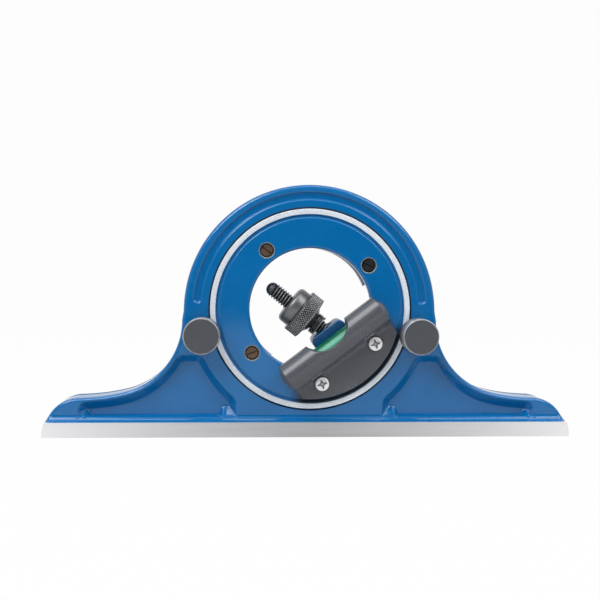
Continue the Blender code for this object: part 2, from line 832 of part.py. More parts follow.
def spring_path():
    """Return the spring's centre line: two turns with a straight end of one wire at each."""
    count = spring_turns * points_per_turn
    turns = []
    for i in range(count + 1):
        turn = 2 * pi * i / points_per_turn
        height = spring_start + spring_pitch * i / points_per_turn
        turns.append(Vector((spring_radius * cos(turn), spring_radius * sin(turn), height)))
    first = turns[0] + Vector((0.0, -spring_wire, 0.0))
    last = turns[-1] + Vector((0.0, spring_wire, 0.0))
    return [first] + turns + [last]


def least_gap(path, wire):
    """Return the smallest distance between stretches of the tube that aren't neighbours."""
    least = None
    apart = points_per_turn // 2
    fine = []
    for start, end in zip(path, path[1:]):
        fine += [start.lerp(end, i / round_steps) for i in range(round_steps)]
    for i, one in enumerate(fine):
        for other in fine[i + apart * round_steps:]:
            gap = (one - other).length - wire
            least = gap if least is None else min(least, gap)
    return least


def make_spring(frame, black):
    """Short coil spring round the bolt, between the boss and the nut."""
    path = spring_path()
    curve = bpy.data.curves.new("clamp_spring", "CURVE")
    curve.dimensions = "3D"
    curve.bevel_depth = spring_wire / 2
    curve.bevel_resolution = 1
    curve.use_fill_caps = True
    spline = curve.splines.new("POLY")
    spline.points.add(len(path) - 1)
    for point, place in zip(spline.points, path):
        point.co = (*place, 1.0)
    guide = bpy.data.objects.new("clamp_spring_guide", curve)
    bpy.context.scene.collection.objects.link(guide)
    mesh = evaluated_mesh(guide)
    bpy.data.objects.remove(guide)
    weld(mesh)
    spring = add_object("clamp_spring", mesh, frame, parts)
    print("clamp_spring least gap to itself, mm:", round(least_gap(path, spring_wire) / mm, 3))
    return settle(spring, black)


def make_lock(side, word, frame, black, steel):
    """One turret lock: a blind knurled nut on the back and a square-headed bolt from the front."""
    axis = add_frame(f"lock_axis_{word}", frame, lock_place(side), 0.0)
    under = web_back - running_gap
    face = under - lock_nut_height
    edge = lock_nut_chamfer
    bore = lock_bolt_radius + running_gap
    blind = face + lock_nut_cap
    profile = [(bore, under), (lock_nut_radius - edge, under), (lock_nut_radius, under - edge),
               (lock_nut_radius, face + edge), (lock_nut_radius - edge, face), (0.0, face)]
    inner = [(0.0, blind), (bore, blind)]
    nut = turned(f"lock_nut_{word}", inner + profile, axis, parts, middle_steps, "Y")
    settle(nut, black)
    top = web_front - lock_head_sunk
    low = top - lock_head_height
    end = blind + lock_bolt_end_gap
    shank = [(0.0, top), (lock_bolt_radius, top), (lock_bolt_radius, end), (0.0, end)]
    bolt = turned(f"lock_bolt_{word}", shank, axis, parts, small_steps, "Y")
    size = (lock_head_width, lock_head_height, lock_head_width)
    head = block(f"lock_head_{word}", size, (0.0, (top + low) / 2, 0.0), axis, cutters, lock_turn(side))
    combine(bolt, head, "UNION")
    settle(bolt, steel)


def main():
    """Build every piece of the head in its place."""
    global parts, cutters
    for item in list(bpy.data.objects):
        bpy.data.objects.remove(item)
    parts = new_collection("protractor_head")
    cutters = new_collection("cutters")

    blue_paint = finish("blue_paint", (0.004, 0.120, 0.376), 0.25, 0.0)
    satin_steel = finish("satin_steel", (0.62, 0.62, 0.63), 0.35, 1.0)
    black_oxide = finish("black_oxide", (0.075, 0.076, 0.085), 0.42, 0.6)
    bright_steel = finish("bright_steel", (0.80, 0.80, 0.80), 0.2, 1.0)
    bronze = finish("bronze", (0.15, 0.10, 0.065), 0.45, 0.7)
    clear_glass = finish("clear_glass", (0.85, 0.95, 0.90), 0.05, 0.0)
    green_fluid = finish("green_fluid", (0.02, 0.42, 0.24), 0.1, 0.0)

    head = add_frame("head_frame", None, (0.0, 0.0, 0.0), 0.0)
    turret_axis = add_frame("turret_axis", head, (0.0, 0.0, axis_height), -turret_angle)
    pivot = (0.0, bolt_axis_y, -pivot_offset)
    bolt_axis = add_frame("bolt_axis", turret_axis, pivot, -bolt_swing)

    make_body(head, blue_paint)
    make_turret(turret_axis, blue_paint)
    make_dial_plate(turret_axis, satin_steel)
    make_dial_screws(turret_axis, bronze)
    make_level_holder(turret_axis, black_oxide)
    make_vial(turret_axis, clear_glass, green_fluid)
    make_plugs(turret_axis, black_oxide)
    make_level_screws(turret_axis, bright_steel)
    make_draw_bolt(bolt_axis, black_oxide)
    make_clamp_nut(bolt_axis, black_oxide)
    make_spring(bolt_axis, black_oxide)
    for side, word in ((-1, "left"), (1, "right")):
        make_lock(side, word, head, black_oxide, satin_steel)


main()
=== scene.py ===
"""Protractor head of a combination square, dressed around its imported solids.

The base face lies on Z = 0 and runs along X; the level side faces -Y and the side
that takes the rule faces +Y. Lengths in the code are in millimetres until a mesh is
stored, which is in metres. A plane point is an X and a Z, and a height is a Y.
"""

from math import acos, asin, atan2, cos, pi, radians, sin, sqrt, tan
from types import SimpleNamespace

import bmesh
import bpy
import numpy as np
from mathutils import Matrix, Vector
from mathutils.geometry import delaunay_2d_cdt


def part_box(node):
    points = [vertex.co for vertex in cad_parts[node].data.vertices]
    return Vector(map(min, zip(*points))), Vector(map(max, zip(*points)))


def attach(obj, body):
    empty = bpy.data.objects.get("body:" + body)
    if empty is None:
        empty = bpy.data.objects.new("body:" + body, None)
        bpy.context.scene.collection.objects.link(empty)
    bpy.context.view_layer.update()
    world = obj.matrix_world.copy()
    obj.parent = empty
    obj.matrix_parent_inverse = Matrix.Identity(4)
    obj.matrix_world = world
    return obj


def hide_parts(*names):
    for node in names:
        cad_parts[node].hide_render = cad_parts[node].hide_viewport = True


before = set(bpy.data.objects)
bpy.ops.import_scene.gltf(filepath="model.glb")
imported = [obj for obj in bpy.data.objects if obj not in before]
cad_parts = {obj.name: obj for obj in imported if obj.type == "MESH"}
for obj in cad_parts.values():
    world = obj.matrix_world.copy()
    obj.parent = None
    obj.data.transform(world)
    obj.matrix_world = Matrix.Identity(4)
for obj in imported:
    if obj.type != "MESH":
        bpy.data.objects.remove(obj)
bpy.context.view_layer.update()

bl_info = {
    "name": "Protractor head",
    "version": (1, 0, 0),
    "blender": (4, 5, 0),
    "location": "3D View > Sidebar > Protractor head",
    "description": "Builds the dressed protractor head of a combination square",
    "category": "Add Mesh",
}

MM = 0.001


def length(name, millimetres, description):
    """Return a length property whose default is given in millimetres."""
    return bpy.props.FloatProperty(name=name, description=description, default=millimetres * MM,
                                   min=0.0, unit="LENGTH", precision=5)


def colour(name, red, green, blue, description):
    """Return a colour property with linear red, green and blue."""
    return bpy.props.FloatVectorProperty(name=name, description=description, subtype="COLOR",
                                         size=3, min=0.0, max=1.0, default=(red, green, blue))


class HeadSizes(bpy.types.PropertyGroup):
    """Sizes of the casting, the turret and what they carry."""

    base_length: length("Base length", 178.0, "Length of the ground base")
    base_depth: length("Base depth", 16.0, "Depth of the ground base")
    web_depth: length("Web depth", 13.0, "Thickness of the casting above its ledge")
    flange_height: length("Flange height", 5.0, "Height of the bare strip along the base")
    ledge_rise: length("Ledge rise", 2.3, "Radius of the fillet between the strip and the web")
    axis_height: length("Axis height", 43.0, "Height of the turret's axis above the base")
    arch_radius: length("Arch radius", 42.75, "Outer radius of the arch")
    rounding: length("Rounding", 1.1, "Radius of the casting's outer edges")
    pocket_depth: length("Pocket depth", 2.8, "Depth of the pockets in the wings")
    channel_radius: length("Channel radius", 38.25, "Radius of the channel in the arch")
    channel_width: length("Channel width", 2.7, "Width of the channel in the arch")
    channel_depth: length("Channel depth", 0.8, "Depth of the channel in the arch")
    ring_radius: length("Ring radius", 33.9, "Outer radius of the turret's bare ring")
    ring_width: length("Ring width", 1.8, "Width of the turret's bare ring")
    hub_radius: length("Hub radius", 31.6, "Radius of the turret in the body's bore")
    opening_radius: length("Opening radius", 20.6, "Radius of the turret's opening")
    thread_pitch: length("Thread pitch", 1.058, "Pitch of the draw bolt's thread")
    knurl_pitch: length("Knurl pitch", 0.85, "Distance between the knurled nut's diamonds")


class HeadColours(bpy.types.PropertyGroup):
    """Colours of the finishes."""

    paint: colour("Paint", 0.0008, 0.119, 0.335, "Gloss enamel of the casting and the turret")
    steel: colour("Steel", 0.80, 0.80, 0.82, "Ground steel of the base and the ring")
    black: colour("Black", 0.018, 0.019, 0.021, "Blackened steel of the bolt and the nut")
    grey: colour("Grey", 0.068, 0.073, 0.084, "Dark grey of the level holder and the lock nuts")
    bronze: colour("Bronze", 0.10, 0.062, 0.04, "Browned steel of the dial screws")
    fluid: colour("Fluid", 0.008, 0.30, 0.13, "Fluid in the level's vial")


def own_names(group):
    """Names of the properties that a group adds to Blender's own."""
    return [p.identifier for p in group.bl_rna.properties
            if p.identifier not in ("rna_type", "name")]


def sizes():
    """Return the sizes as a name space in millimetres."""
    group = bpy.context.scene.head_sizes
    return SimpleNamespace(**{n: round(getattr(group, n) / MM, 5) for n in own_names(group)})


# Places shared with the solids, in millimetres. In the turret's own frame X runs along the
# level and Z away from it, with the turret's axis at the middle.
TURRET_TURN = radians(37.2)
PIVOT_OFFSET = 11.1
BOLT_AXIS_Y = 1.5
BOLT_SWING = radians(14.4)
LOCK_SPREAD = 36.4016
LOCK_HEIGHT = 34.202
LOCK_HOLE = 2.3
BORE_GAP = 0.35
LIP_BACK = -1.1
FLANGE_FRONT = -1.4
TURRET_FRONT = 8.2
DIAL_FACE = 10.66
SLOT_FLOOR = -1.3
SLOT_START = -13.75
SLOT_END = 21.8
SLOT_HALF = 4.4
SEAT_PLACES = np.array([(0, 24.701), (24.701, 0), (-24.701, 0)])
LEVEL_SCREWS = np.array([(10.45, -22.398), (-12.05, -22.398)])

# Points on a circle, by how round the piece has to look
FINE_STEPS = 288
COARSE_STEPS = 48


def turret_frame():
    """Return the matrix of the turret's own frame: X along the level, Z away from it."""
    lift = Matrix.Translation((0, 0, sizes().axis_height))
    return lift @ Matrix.Rotation(-TURRET_TURN, 4, "Y")


def bolt_frame():
    """Return the matrix of the draw bolt's frame, whose Z is the bolt's axis."""
    return (turret_frame() @ Matrix.Translation((0, BOLT_AXIS_Y, -PIVOT_OFFSET))
            @ Matrix.Rotation(-BOLT_SWING, 4, "Y"))


# Curves in the plane of the head


def arc(centre, radius, start, end, count):
    """Points at equal angles on a circle: centre plus radius times cosine and sine."""
    turn = np.linspace(start, end, count + 1)
    return np.stack([centre[0] + radius * np.cos(turn), centre[1] + radius * np.sin(turn)], 1)


def unit_circle(count, offset=0.0):
    """Points at equal angles all round a circle of radius 1: cosine and sine."""
    turn = (np.arange(count) + offset) * 2 * pi / count
    return np.stack([np.cos(turn), np.sin(turn)], 1)


def crossings(columns, rows):
    """Plane points where each column crosses each row."""
    return np.stack(np.meshgrid(columns, rows), -1).reshape(-1, 2)


def cubic(start, start_heading, end, end_heading, count):
    """Points on a cubic curve that leaves and arrives with the given headings."""
    start, end = np.array(start), np.array(end)
    reach = np.hypot(*(end - start)) / 3
    first = start + reach * np.array([cos(start_heading), sin(start_heading)])
    last = end - reach * np.array([cos(end_heading), sin(end_heading)])
    t = np.linspace(0, 1, count + 1)[:, None]
    return (start * (1 - t) ** 3 + first * 3 * t * (1 - t) ** 2 + last * 3 * t * t * (1 - t)
            + end * t ** 3)


def resampled(points, step, closed=False):
    """Points at equal distances along a polyline, as near to the step as divides it evenly."""
    if closed:
        points = np.vstack([points, points[:1]])
    run = np.concatenate([[0.0], np.cumsum(np.hypot(*np.diff(points, axis=0).T))])
    count = max(2, int(round(run[-1] / step)))
    at = np.linspace(0, run[-1], count + 1)
    even = np.stack([np.interp(at, run, points[:, k]) for k in (0, 1)], 1)
    return even[:-1] if closed else even


def softened(points, radius, passes):
    """A closed polyline whose corners are rounded by averaging over the radius several times."""
    step = 0.25
    even = resampled(points, step, closed=True)
    reach = max(1, int(radius / step / 2))
    kernel = np.ones(2 * reach + 1) / (2 * reach + 1)
    for _ in range(passes):
        padded = np.vstack([even[-reach:], even, even[:reach]])
        even = np.stack([np.convolve(padded[:, k], kernel, "valid") for k in (0, 1)], 1)
    return even


def normals_of(points, closed=True):
    """Unit vectors to the right of a polyline's direction, from central differences."""
    if closed:
        along = np.roll(points, -1, 0) - np.roll(points, 1, 0)
    else:
        along = np.gradient(points, axis=0)
    along /= np.maximum(np.hypot(*along.T), 1e-9)[:, None]
    return np.stack([along[:, 1], -along[:, 0]], 1)


def inward_of(loop, smooth_at=0):
    """Unit vectors into a closed polyline, whose side is tried at one point that is no corner."""
    inward = -normals_of(loop)
    tried = loop[smooth_at] + inward[smooth_at] * 0.3
    return inward if inside(tried[None], loop)[0] else -inward


def distance(points, line, closed=True):
    """Least distance from each point to the stretches of a polyline."""
    a = line if closed else line[:-1]
    b = np.roll(line, -1, 0) if closed else line[1:]
    ab = b - a
    size = np.maximum((ab ** 2).sum(1), 1e-12)
    result = np.empty(len(points))
    for low in range(0, len(points), 2000):
        p = points[low:low + 2000, None, :]
        t = np.clip(((p - a) * ab).sum(2) / size, 0, 1)
        result[low:low + 2000] = np.sqrt((((a + t[..., None] * ab) - p) ** 2).sum(2).min(1))
    return result


def inside(points, loop):
    """Whether each point lies in a closed polyline, by the count of crossings to its right."""
    x0, z0 = loop.T
    x1, z1 = np.roll(loop, -1, 0).T
    result = np.empty(len(points), bool)
    for low in range(0, len(points), 2000):
        px, pz = points[low:low + 2000, 0, None], points[low:low + 2000, 1, None]
        spans = (z0 > pz) != (z1 > pz)
        with np.errstate(divide="ignore", invalid="ignore"):
            cross = x0 + (pz - z0) * (x1 - x0) / (z1 - z0)
        result[low:low + 2000] = (spans & (px < cross)).sum(1) % 2 == 1
    return result


def eased(value, reach):
    """Zero below minus reach, the value above reach, and a parabola that joins them."""
    middle = (value + reach) ** 2 / (4 * reach)
    return np.where(value < -reach, 0.0, np.where(value > reach, value, middle))


def soft_least(one, other, blend):
    """The smaller of two values, with a parabola where they are closer than the blend."""
    near = np.clip(blend - np.abs(one - other), 0, None) / blend
    return np.minimum(one, other) - near ** 2 * blend / 4


def tent(value, half):
    """One at zero, falling in a straight line to zero at half a width on either side."""
    return np.clip(1 - np.abs(value) / half, 0, 1)


def edge_drop(near, radius):
    """How far a rounded edge falls back at a distance from the edge: a quarter circle."""
    left = np.clip(radius - near, 0, radius)
    return radius - np.sqrt(radius ** 2 - left ** 2)


def edge_rings(radius):
    """Distances from an edge at which a quarter circle turns by nearly equal angles."""
    turns = np.radians([12.0, 26.0, 42.0, 58.0, 74.0, 90.0])
    return list(radius * (1 - np.cos(turns))) + [radius + 0.12]


# Meshes

WELD = 0.0002


def moved(points, place):
    """Points carried by a matrix: its turn, then its shift."""
    turn = np.array(place)
    return points @ turn[:3, :3].T + turn[:3, 3]


def read_all(items, field, width=3, kind=float):
    """One field of every item in a mesh's collection, as rows."""
    values = np.empty(width * len(items), kind)
    items.foreach_get(field, values)
    return values.reshape(-1, width)


def store_values(mesh, name, values):
    """Keep one value a point as a named attribute."""
    attribute = mesh.attributes.new(name, "FLOAT", "POINT")
    attribute.data.foreach_set("value", np.float32(values).ravel())


def new_mesh(name, points, faces, place=None, crest_and_painted_light=None):
    """Store millimetre points and arrays of corners as an object's mesh in metres, at the origin.

    crest_and_painted_light is one value a point, kept as a named attribute: 1 where a finish is
    bright from wear, and on some pieces it sets painted highlights, reflections and shade.
    """
    points = np.asarray(points, float).reshape(-1, 3)
    if place is not None:
        points = moved(points, place)
    mesh = bpy.data.meshes.new(name)
    faces = [np.asarray(f, np.int32) for f in faces if len(f)]
    counts = np.concatenate([np.full(len(f), f.shape[1], np.int32) for f in faces])
    starts = np.concatenate([[0], np.cumsum(counts)[:-1]]).astype(np.int32)
    mesh.vertices.add(len(points))
    mesh.vertices.foreach_set("co", (points * MM).astype(np.float32).ravel())
    mesh.loops.add(int(counts.sum()))
    mesh.loops.foreach_set("vertex_index", np.concatenate([f.ravel() for f in faces]))
    mesh.polygons.add(len(counts))
    mesh.polygons.foreach_set("loop_start", starts)
    mesh.update(calc_edges=True)
    if crest_and_painted_light is not None:
        store_values(mesh, "crest_and_painted_light", crest_and_painted_light)
    mesh.validate()
    item = bpy.data.objects.new(name, mesh)
    bpy.context.scene.collection.objects.link(item)
    return item


def closed_up(item, angle=38.0):
    """Merge doubled points, point the faces outwards and shade smooth up to an angle."""
    work = bmesh.new()
    work.from_mesh(item.data)
    bmesh.ops.remove_doubles(work, verts=work.verts, dist=WELD * MM)
    bmesh.ops.dissolve_degenerate(work, edges=work.edges, dist=WELD * MM / 2)
    bmesh.ops.recalc_face_normals(work, faces=work.faces)
    work.to_mesh(item.data)
    work.free()
    item.data.shade_smooth()
    item.data.set_sharp_from_angle(angle=radians(angle))
    return item


def closed_mesh(name, points, faces, place=None, crest_and_painted_light=None, angle=38.0):
    """Store a mesh and close it up; the angle in degrees is the sharpest that is shaded smooth."""
    return closed_up(new_mesh(name, points, faces, place, crest_and_painted_light), angle)


def grid_quads(rows, columns, wrap=False):
    """Corners of the quads between neighbouring rows and columns, which wrap round if asked."""
    ids = np.arange(rows * columns).reshape(rows, columns)
    if wrap:
        ids = np.hstack([ids, ids[:, :1]])
    corners = [ids[:-1, :-1], ids[1:, :-1], ids[1:, 1:], ids[:-1, 1:]]
    return np.stack(corners, -1).reshape(-1, 4)


def ring_points(radius, height, turn):
    """Rows of points round Z: radius times the cosine and sine of the turn, and the height."""
    rows = np.broadcast_arrays(radius * np.cos(turn), radius * np.sin(turn), height)
    return np.stack(rows, -1)


def turned(name, profile, place, steps, along="Z", crest_and_painted_light=None):
    """A profile of radius and height carried round an axis along Z or Y."""
    profile = np.array(profile, float)
    points = ring_points(profile[:, :1], profile[:, 1:], np.arange(steps) * 2 * pi / steps)
    if along == "Y":
        points = points[..., [0, 2, 1]]
    worn = None if crest_and_painted_light is None else np.repeat(crest_and_painted_light(*profile.T), steps)
    return closed_mesh(name, points, [grid_quads(len(profile), steps, wrap=True)], place, worn)


def rounded(corners, radii):
    """An open profile whose inner corners become curves of about the given radii.

    Each is a parabola that is tangent to both sides where an arc of the radius would be.
    """
    result = [tuple(corners[0])]
    for before, corner, after, radius in zip(corners, corners[1:], corners[2:], radii):
        here = Vector(corner)
        back, on = Vector(before) - here, Vector(after) - here
        if radius <= 0:
            result.append(tuple(here))
            continue
        half = back.angle(on) / 2
        run = min(radius / tan(half), back.length * 0.49, on.length * 0.49)
        a, b = here + back.normalized() * run, here + on.normalized() * run
        t = np.linspace(0, 1, 6)[:, None]
        curve = np.array(a) * (1 - t) ** 2 + np.array(here) * 2 * t * (1 - t) + np.array(b) * t * t
        result += [tuple(p) for p in curve]
    return result + [tuple(corners[-1])]


def clear_of(points, others, reach):
    """Whether no other point lies in or beside each point's square cell, as wide as the reach."""
    def cells(p):
        return np.floor(p / reach).astype(np.int64) @ np.array([1 << 20, 1])
    taken, here = np.unique(cells(others)), cells(points)
    near = [np.isin(here + (dx << 20) + dz, taken) for dx in (-1, 0, 1) for dz in (-1, 0, 1)]
    return ~np.any(near, axis=0)


def spaced(first, *families):
    """Points of the first family, and of each further one where it keeps clear of all before.

    Each further family is its reach and its arrays of points.
    """
    kept = np.vstack(first)
    for reach, points in families:
        points = np.vstack(points)
        kept = np.vstack([kept, points[clear_of(points, kept, reach)]])
    return kept


def face_mesh(loops, extra, height):
    """Triangles over the area between closed loops, through extra points, lifted by a height.

    The first loop is the outside and the rest are holes. Extra points next to a loop or to
    each other are left out. Returns the plane points, loops first, their heights and the
    triangles.
    """
    to_loop, to_each_other = 0.04, 0.09

    def on_face(p):
        result = inside(p, loops[0])
        for hole in loops[1:]:
            result &= ~inside(p, hole)
        return result

    keep = on_face(extra)
    keep[keep] = np.min([distance(extra[keep], loop) for loop in loops], axis=0) > to_loop
    extra = extra[keep]
    cells = np.round(extra / to_each_other).astype(int)
    _, first = np.unique(cells, axis=0, return_index=True)
    extra = extra[np.sort(first)]
    points = np.vstack([*loops, extra])
    edges, start = [], 0
    for loop in loops:
        ids = start + np.arange(len(loop))
        edges += list(zip(ids.tolist(), np.roll(ids, -1).tolist()))
        start += len(loop)
    plane, _, faces, origins, _, _ = delaunay_2d_cdt([Vector(p) for p in points], edges, [],
                                                     0, 1e-6)
    index = np.array([o[0] if o else -1 for o in origins])
    if (index < 0).any() or len(plane) != len(points):
        raise RuntimeError("two outlines of a face cross each other")
    faces = index[np.array(faces)]
    return points, height(points), faces[on_face(points[faces].mean(1))]


def faced_solid(name, back, front, walls, place=None, angle=38.0):
    """A closed solid from a back and a front face whose loops are joined by walls.

    back and front are results of face_mesh with loops of equal counts; walls gives for each
    loop its count and the rows between the two faces, each a plane loop and its height.
    """
    (bp, by, bf), (fp, fy, ff) = back, front
    stack = [np.stack([bp[:, 0], by, bp[:, 1]], 1), np.stack([fp[:, 0], fy, fp[:, 1]], 1)]
    quads = []
    total, start = len(bp) + len(fp), 0
    for count, rows in walls:
        ids = [start + np.arange(count)]
        for loop, y in rows:
            stack.append(np.stack([loop[:, 0], np.broadcast_to(y, count), loop[:, 1]], 1))
            ids.append(total + np.arange(count))
            total += count
        ids.append(len(bp) + start + np.arange(count))
        for low, high in zip(ids, ids[1:]):
            quads.append(np.stack([low, np.roll(low, -1), np.roll(high, -1), high], 1))
        start += count
    faces = [bf, ff + len(bp), np.vstack(quads)]
    return closed_mesh(name, np.vstack(stack), faces, place, angle=angle)


def bevelled(item, width, segments=2, angle=35.0):
    """Round the edges of a piece where its faces meet at more than an angle in degrees."""
    tool = item.modifiers.new("edges", "BEVEL")
    tool.width, tool.segments = width * MM, segments
    tool.limit_method, tool.angle_limit = "ANGLE", radians(angle)
    return item


def cad_copy(name, node, bevel=0.0):
    """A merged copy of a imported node, with its flat faces joined and its edges bevelled."""
    item = bpy.data.objects.new(name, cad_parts[node].data.copy())
    item.data.materials.clear()
    bpy.context.scene.collection.objects.link(item)
    work = bmesh.new()
    work.from_mesh(item.data)
    bmesh.ops.remove_doubles(work, verts=work.verts, dist=10 * WELD * MM)
    bmesh.ops.dissolve_limit(work, angle_limit=radians(1.0), verts=work.verts, edges=work.edges)
    work.to_mesh(item.data)
    work.free()
    item.data.shade_smooth()
    item.data.set_sharp_from_angle(angle=radians(35.0))
    return bevelled(item, bevel) if bevel else item


def second_material(item, material, choose):
    """Give a second material to the faces whose middle, in millimetres, is chosen."""
    item.data.materials.append(material)
    picked = choose(read_all(item.data.polygons, "center") / MM)
    item.data.polygons.foreach_set("material_index", picked.astype(np.int32))


def point_values(item, name, value, back=None):
    """Store a value at every point from its place in millimetres, carried by a matrix if given."""
    places = read_all(item.data.vertices, "co") / MM
    store_values(item.data, name, value(places if back is None else moved(places, back)))


def edge_wear(item, start, end):
    """Store how far each point stands proud of its neighbours, from 0 at start to 1 at end.

    The value is the mean sine of the angles by which the point's edges fall away from the
    plane across its normal.
    """
    mesh = item.data
    places, normals = read_all(mesh.vertices, "co"), read_all(mesh.vertex_normals, "vector")
    first, second = read_all(mesh.edges, "vertices", 2, np.int32).T
    along = places[second] - places[first]
    along /= np.linalg.norm(along, axis=1)[:, None]
    proud = np.zeros(len(places))
    np.add.at(proud, first, -np.einsum("ij,ij->i", along, normals[first]))
    np.add.at(proud, second, np.einsum("ij,ij->i", along, normals[second]))
    proud /= np.maximum(np.bincount(np.r_[first, second], minlength=len(places)), 1)
    store_values(mesh, "crest_and_painted_light", np.clip((proud - start) / (end - start), 0, 1))


def boxes_at(lows, highs):
    """Corners and quads of one or more boxes from their lowest and highest corners."""
    lows, highs = np.atleast_2d(lows), np.atleast_2d(highs)
    pick = np.array([(x, y, z) for x in (0, 1) for y in (0, 1) for z in (0, 1)])
    corners = np.where(pick[None], highs[:, None], lows[:, None])
    quads = np.array([(0, 1, 3, 2), (4, 6, 7, 5), (0, 4, 5, 1), (2, 3, 7, 6), (0, 2, 6, 4),
                      (1, 5, 7, 3)])
    return corners, (quads[None] + 8 * np.arange(len(lows))[:, None, None]).reshape(-1, 4)


def dress(item, material, body, slot, *nodes):
    """Give a piece its material and its body and hide the nodes it stands for; the slot is not
    used.
    """
    item.data.materials.append(material)
    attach(item, body)
    if nodes:
        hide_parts(*nodes)
    return item


# Materials

BUMP_DISTANCE = 0.02 * MM
SOCKET_KINDS = {1: "NodeSocketFloat", 3: "NodeSocketVector", 4: "NodeSocketColor"}


def add_node(tree, kind, place, sockets=None, **settings):
    """Add a shader node, with its own settings and the defaults of its inputs."""
    node = tree.nodes.new("ShaderNode" + kind)
    node.location = place
    for key, value in settings.items():
        setattr(node, key, value)
    for key, value in (sockets or {}).items():
        node.inputs[key].default_value = value
    return node


def wire(tree, *rows):
    """Join nodes; each row is a node and its output, then a node and its input."""
    for source, output, target, entry in rows:
        tree.links.new(source.outputs[output], target.inputs[entry])


def new_group(name, inputs, outputs):
    """A node group whose sockets are floats, vectors or colours, as their defaults are."""
    tree = bpy.data.node_groups.new(name, "ShaderNodeTree")
    for way, sockets in (("INPUT", inputs), ("OUTPUT", outputs)):
        for label, value in sockets.items():
            kind = SOCKET_KINDS[np.size(value)]
            socket = tree.interface.new_socket(name=label, in_out=way, socket_type=kind)
            socket.default_value = value
    enter, leave = tree.nodes.new("NodeGroupInput"), tree.nodes.new("NodeGroupOutput")
    enter.location, leave.location = (-900, 0), (600, 0)
    return tree, enter, leave


def speckle_group():
    """Node group: a colour and a gloss that vary in spots, from noise at two scales."""
    name = "Speckle"
    if name in bpy.data.node_groups:
        return bpy.data.node_groups[name]
    tree, enter, leave = new_group(
        name, {"Colour": (0.5, 0.5, 0.5, 1), "Second colour": (0.4, 0.4, 0.4, 1),
               "Scale": 300.0, "Stretch": (1, 1, 1), "Low gloss": 0.3, "High gloss": 0.45,
               "Vector": (0, 0, 0)},
        {"Colour": (0, 0, 0, 1), "Roughness": 0.0, "Height": 0.0})
    spread = add_node(tree, "VectorMath", (-700, 0), operation="MULTIPLY")
    fine = add_node(tree, "TexNoise", (-500, 100), {"Detail": 4.0, "Roughness": 0.6})
    broad = add_node(tree, "TexNoise", (-500, -200), {"Detail": 2.0, "Scale": 60.0})
    both = add_node(tree, "Math", (-300, 0), operation="ADD")
    level = add_node(tree, "MapRange", (-100, 0), {"From Min": 0.7, "From Max": 1.3})
    tint = add_node(tree, "Mix", (200, 150), data_type="RGBA")
    gloss = add_node(tree, "Mix", (200, -150), data_type="FLOAT")
    wire(tree,
         (enter, "Vector", spread, 0), (enter, "Stretch", spread, 1),
         (spread, 0, fine, "Vector"), (enter, "Scale", fine, "Scale"),
         (spread, 0, broad, "Vector"),
         (fine, "Fac", both, 0), (broad, "Fac", both, 1), (both, 0, level, "Value"),
         (level, "Result", tint, "Factor"), (level, "Result", gloss, "Factor"),
         (enter, "Colour", tint, "A"), (enter, "Second colour", tint, "B"),
         (enter, "Low gloss", gloss, 2), (enter, "High gloss", gloss, 3),
         (tint, "Result", leave, "Colour"), (gloss, 0, leave, "Roughness"),
         (fine, "Fac", leave, "Height"))
    return tree


def wear_group():
    """Node group: colour and gloss of wear and painted light where crest_and_painted_light is
    high.

    Noise breaks them up, down to the evenness; the painted_shade attribute darkens the colour
    towards near black as painted shade.
    """
    name = "Wear"
    if name in bpy.data.node_groups:
        return bpy.data.node_groups[name]
    tree, enter, leave = new_group(
        name, {"Colour": (0.5, 0.5, 0.5, 1), "Worn and painted light colour": (0.6, 0.6, 0.6, 1),
               "Roughness": 0.4, "Worn roughness": 0.3,
               "Painted shade colour": (0.001, 0.004, 0.008, 1), "Evenness": 0.5, "Vector": (0, 0, 0)},
        {"Colour": (0, 0, 0, 1), "Roughness": 0.0})
    crest_and_painted_light = add_node(tree, "Attribute", (-700, 200), attribute_name="crest_and_painted_light")
    # Painted shade: the painted_shade attribute mixes the colour towards near black
    painted_shade = add_node(tree, "Attribute", (-100, 400), attribute_name="painted_shade")
    patches = add_node(tree, "TexNoise", (-700, -300), {"Scale": 700.0, "Detail": 3.0})
    breaks = add_node(tree, "MapRange", (-500, -300), {"From Min": 0.3, "From Max": 0.55})
    mask = add_node(tree, "Math", (-100, 0), operation="MULTIPLY")
    tint = add_node(tree, "Mix", (200, 150), data_type="RGBA")
    painted_shade_mix = add_node(tree, "Mix", (400, 150), data_type="RGBA")
    gloss = add_node(tree, "Mix", (200, -150), data_type="FLOAT")
    wire(tree,
         (enter, "Evenness", breaks, "To Min"), (enter, "Vector", patches, "Vector"),
         (patches, "Fac", breaks, "Value"),
         (crest_and_painted_light, "Fac", mask, 0), (breaks, "Result", mask, 1),
         (mask, 0, tint, "Factor"), (mask, 0, gloss, "Factor"),
         (enter, "Colour", tint, "A"), (enter, "Worn and painted light colour", tint, "B"),
         (enter, "Roughness", gloss, 2), (enter, "Worn roughness", gloss, 3),
         (painted_shade, "Fac", painted_shade_mix, "Factor"), (tint, "Result", painted_shade_mix, "A"),
         (enter, "Painted shade colour", painted_shade_mix, "B"),
         (painted_shade_mix, "Result", leave, "Colour"), (gloss, 0, leave, "Roughness"))
    return tree


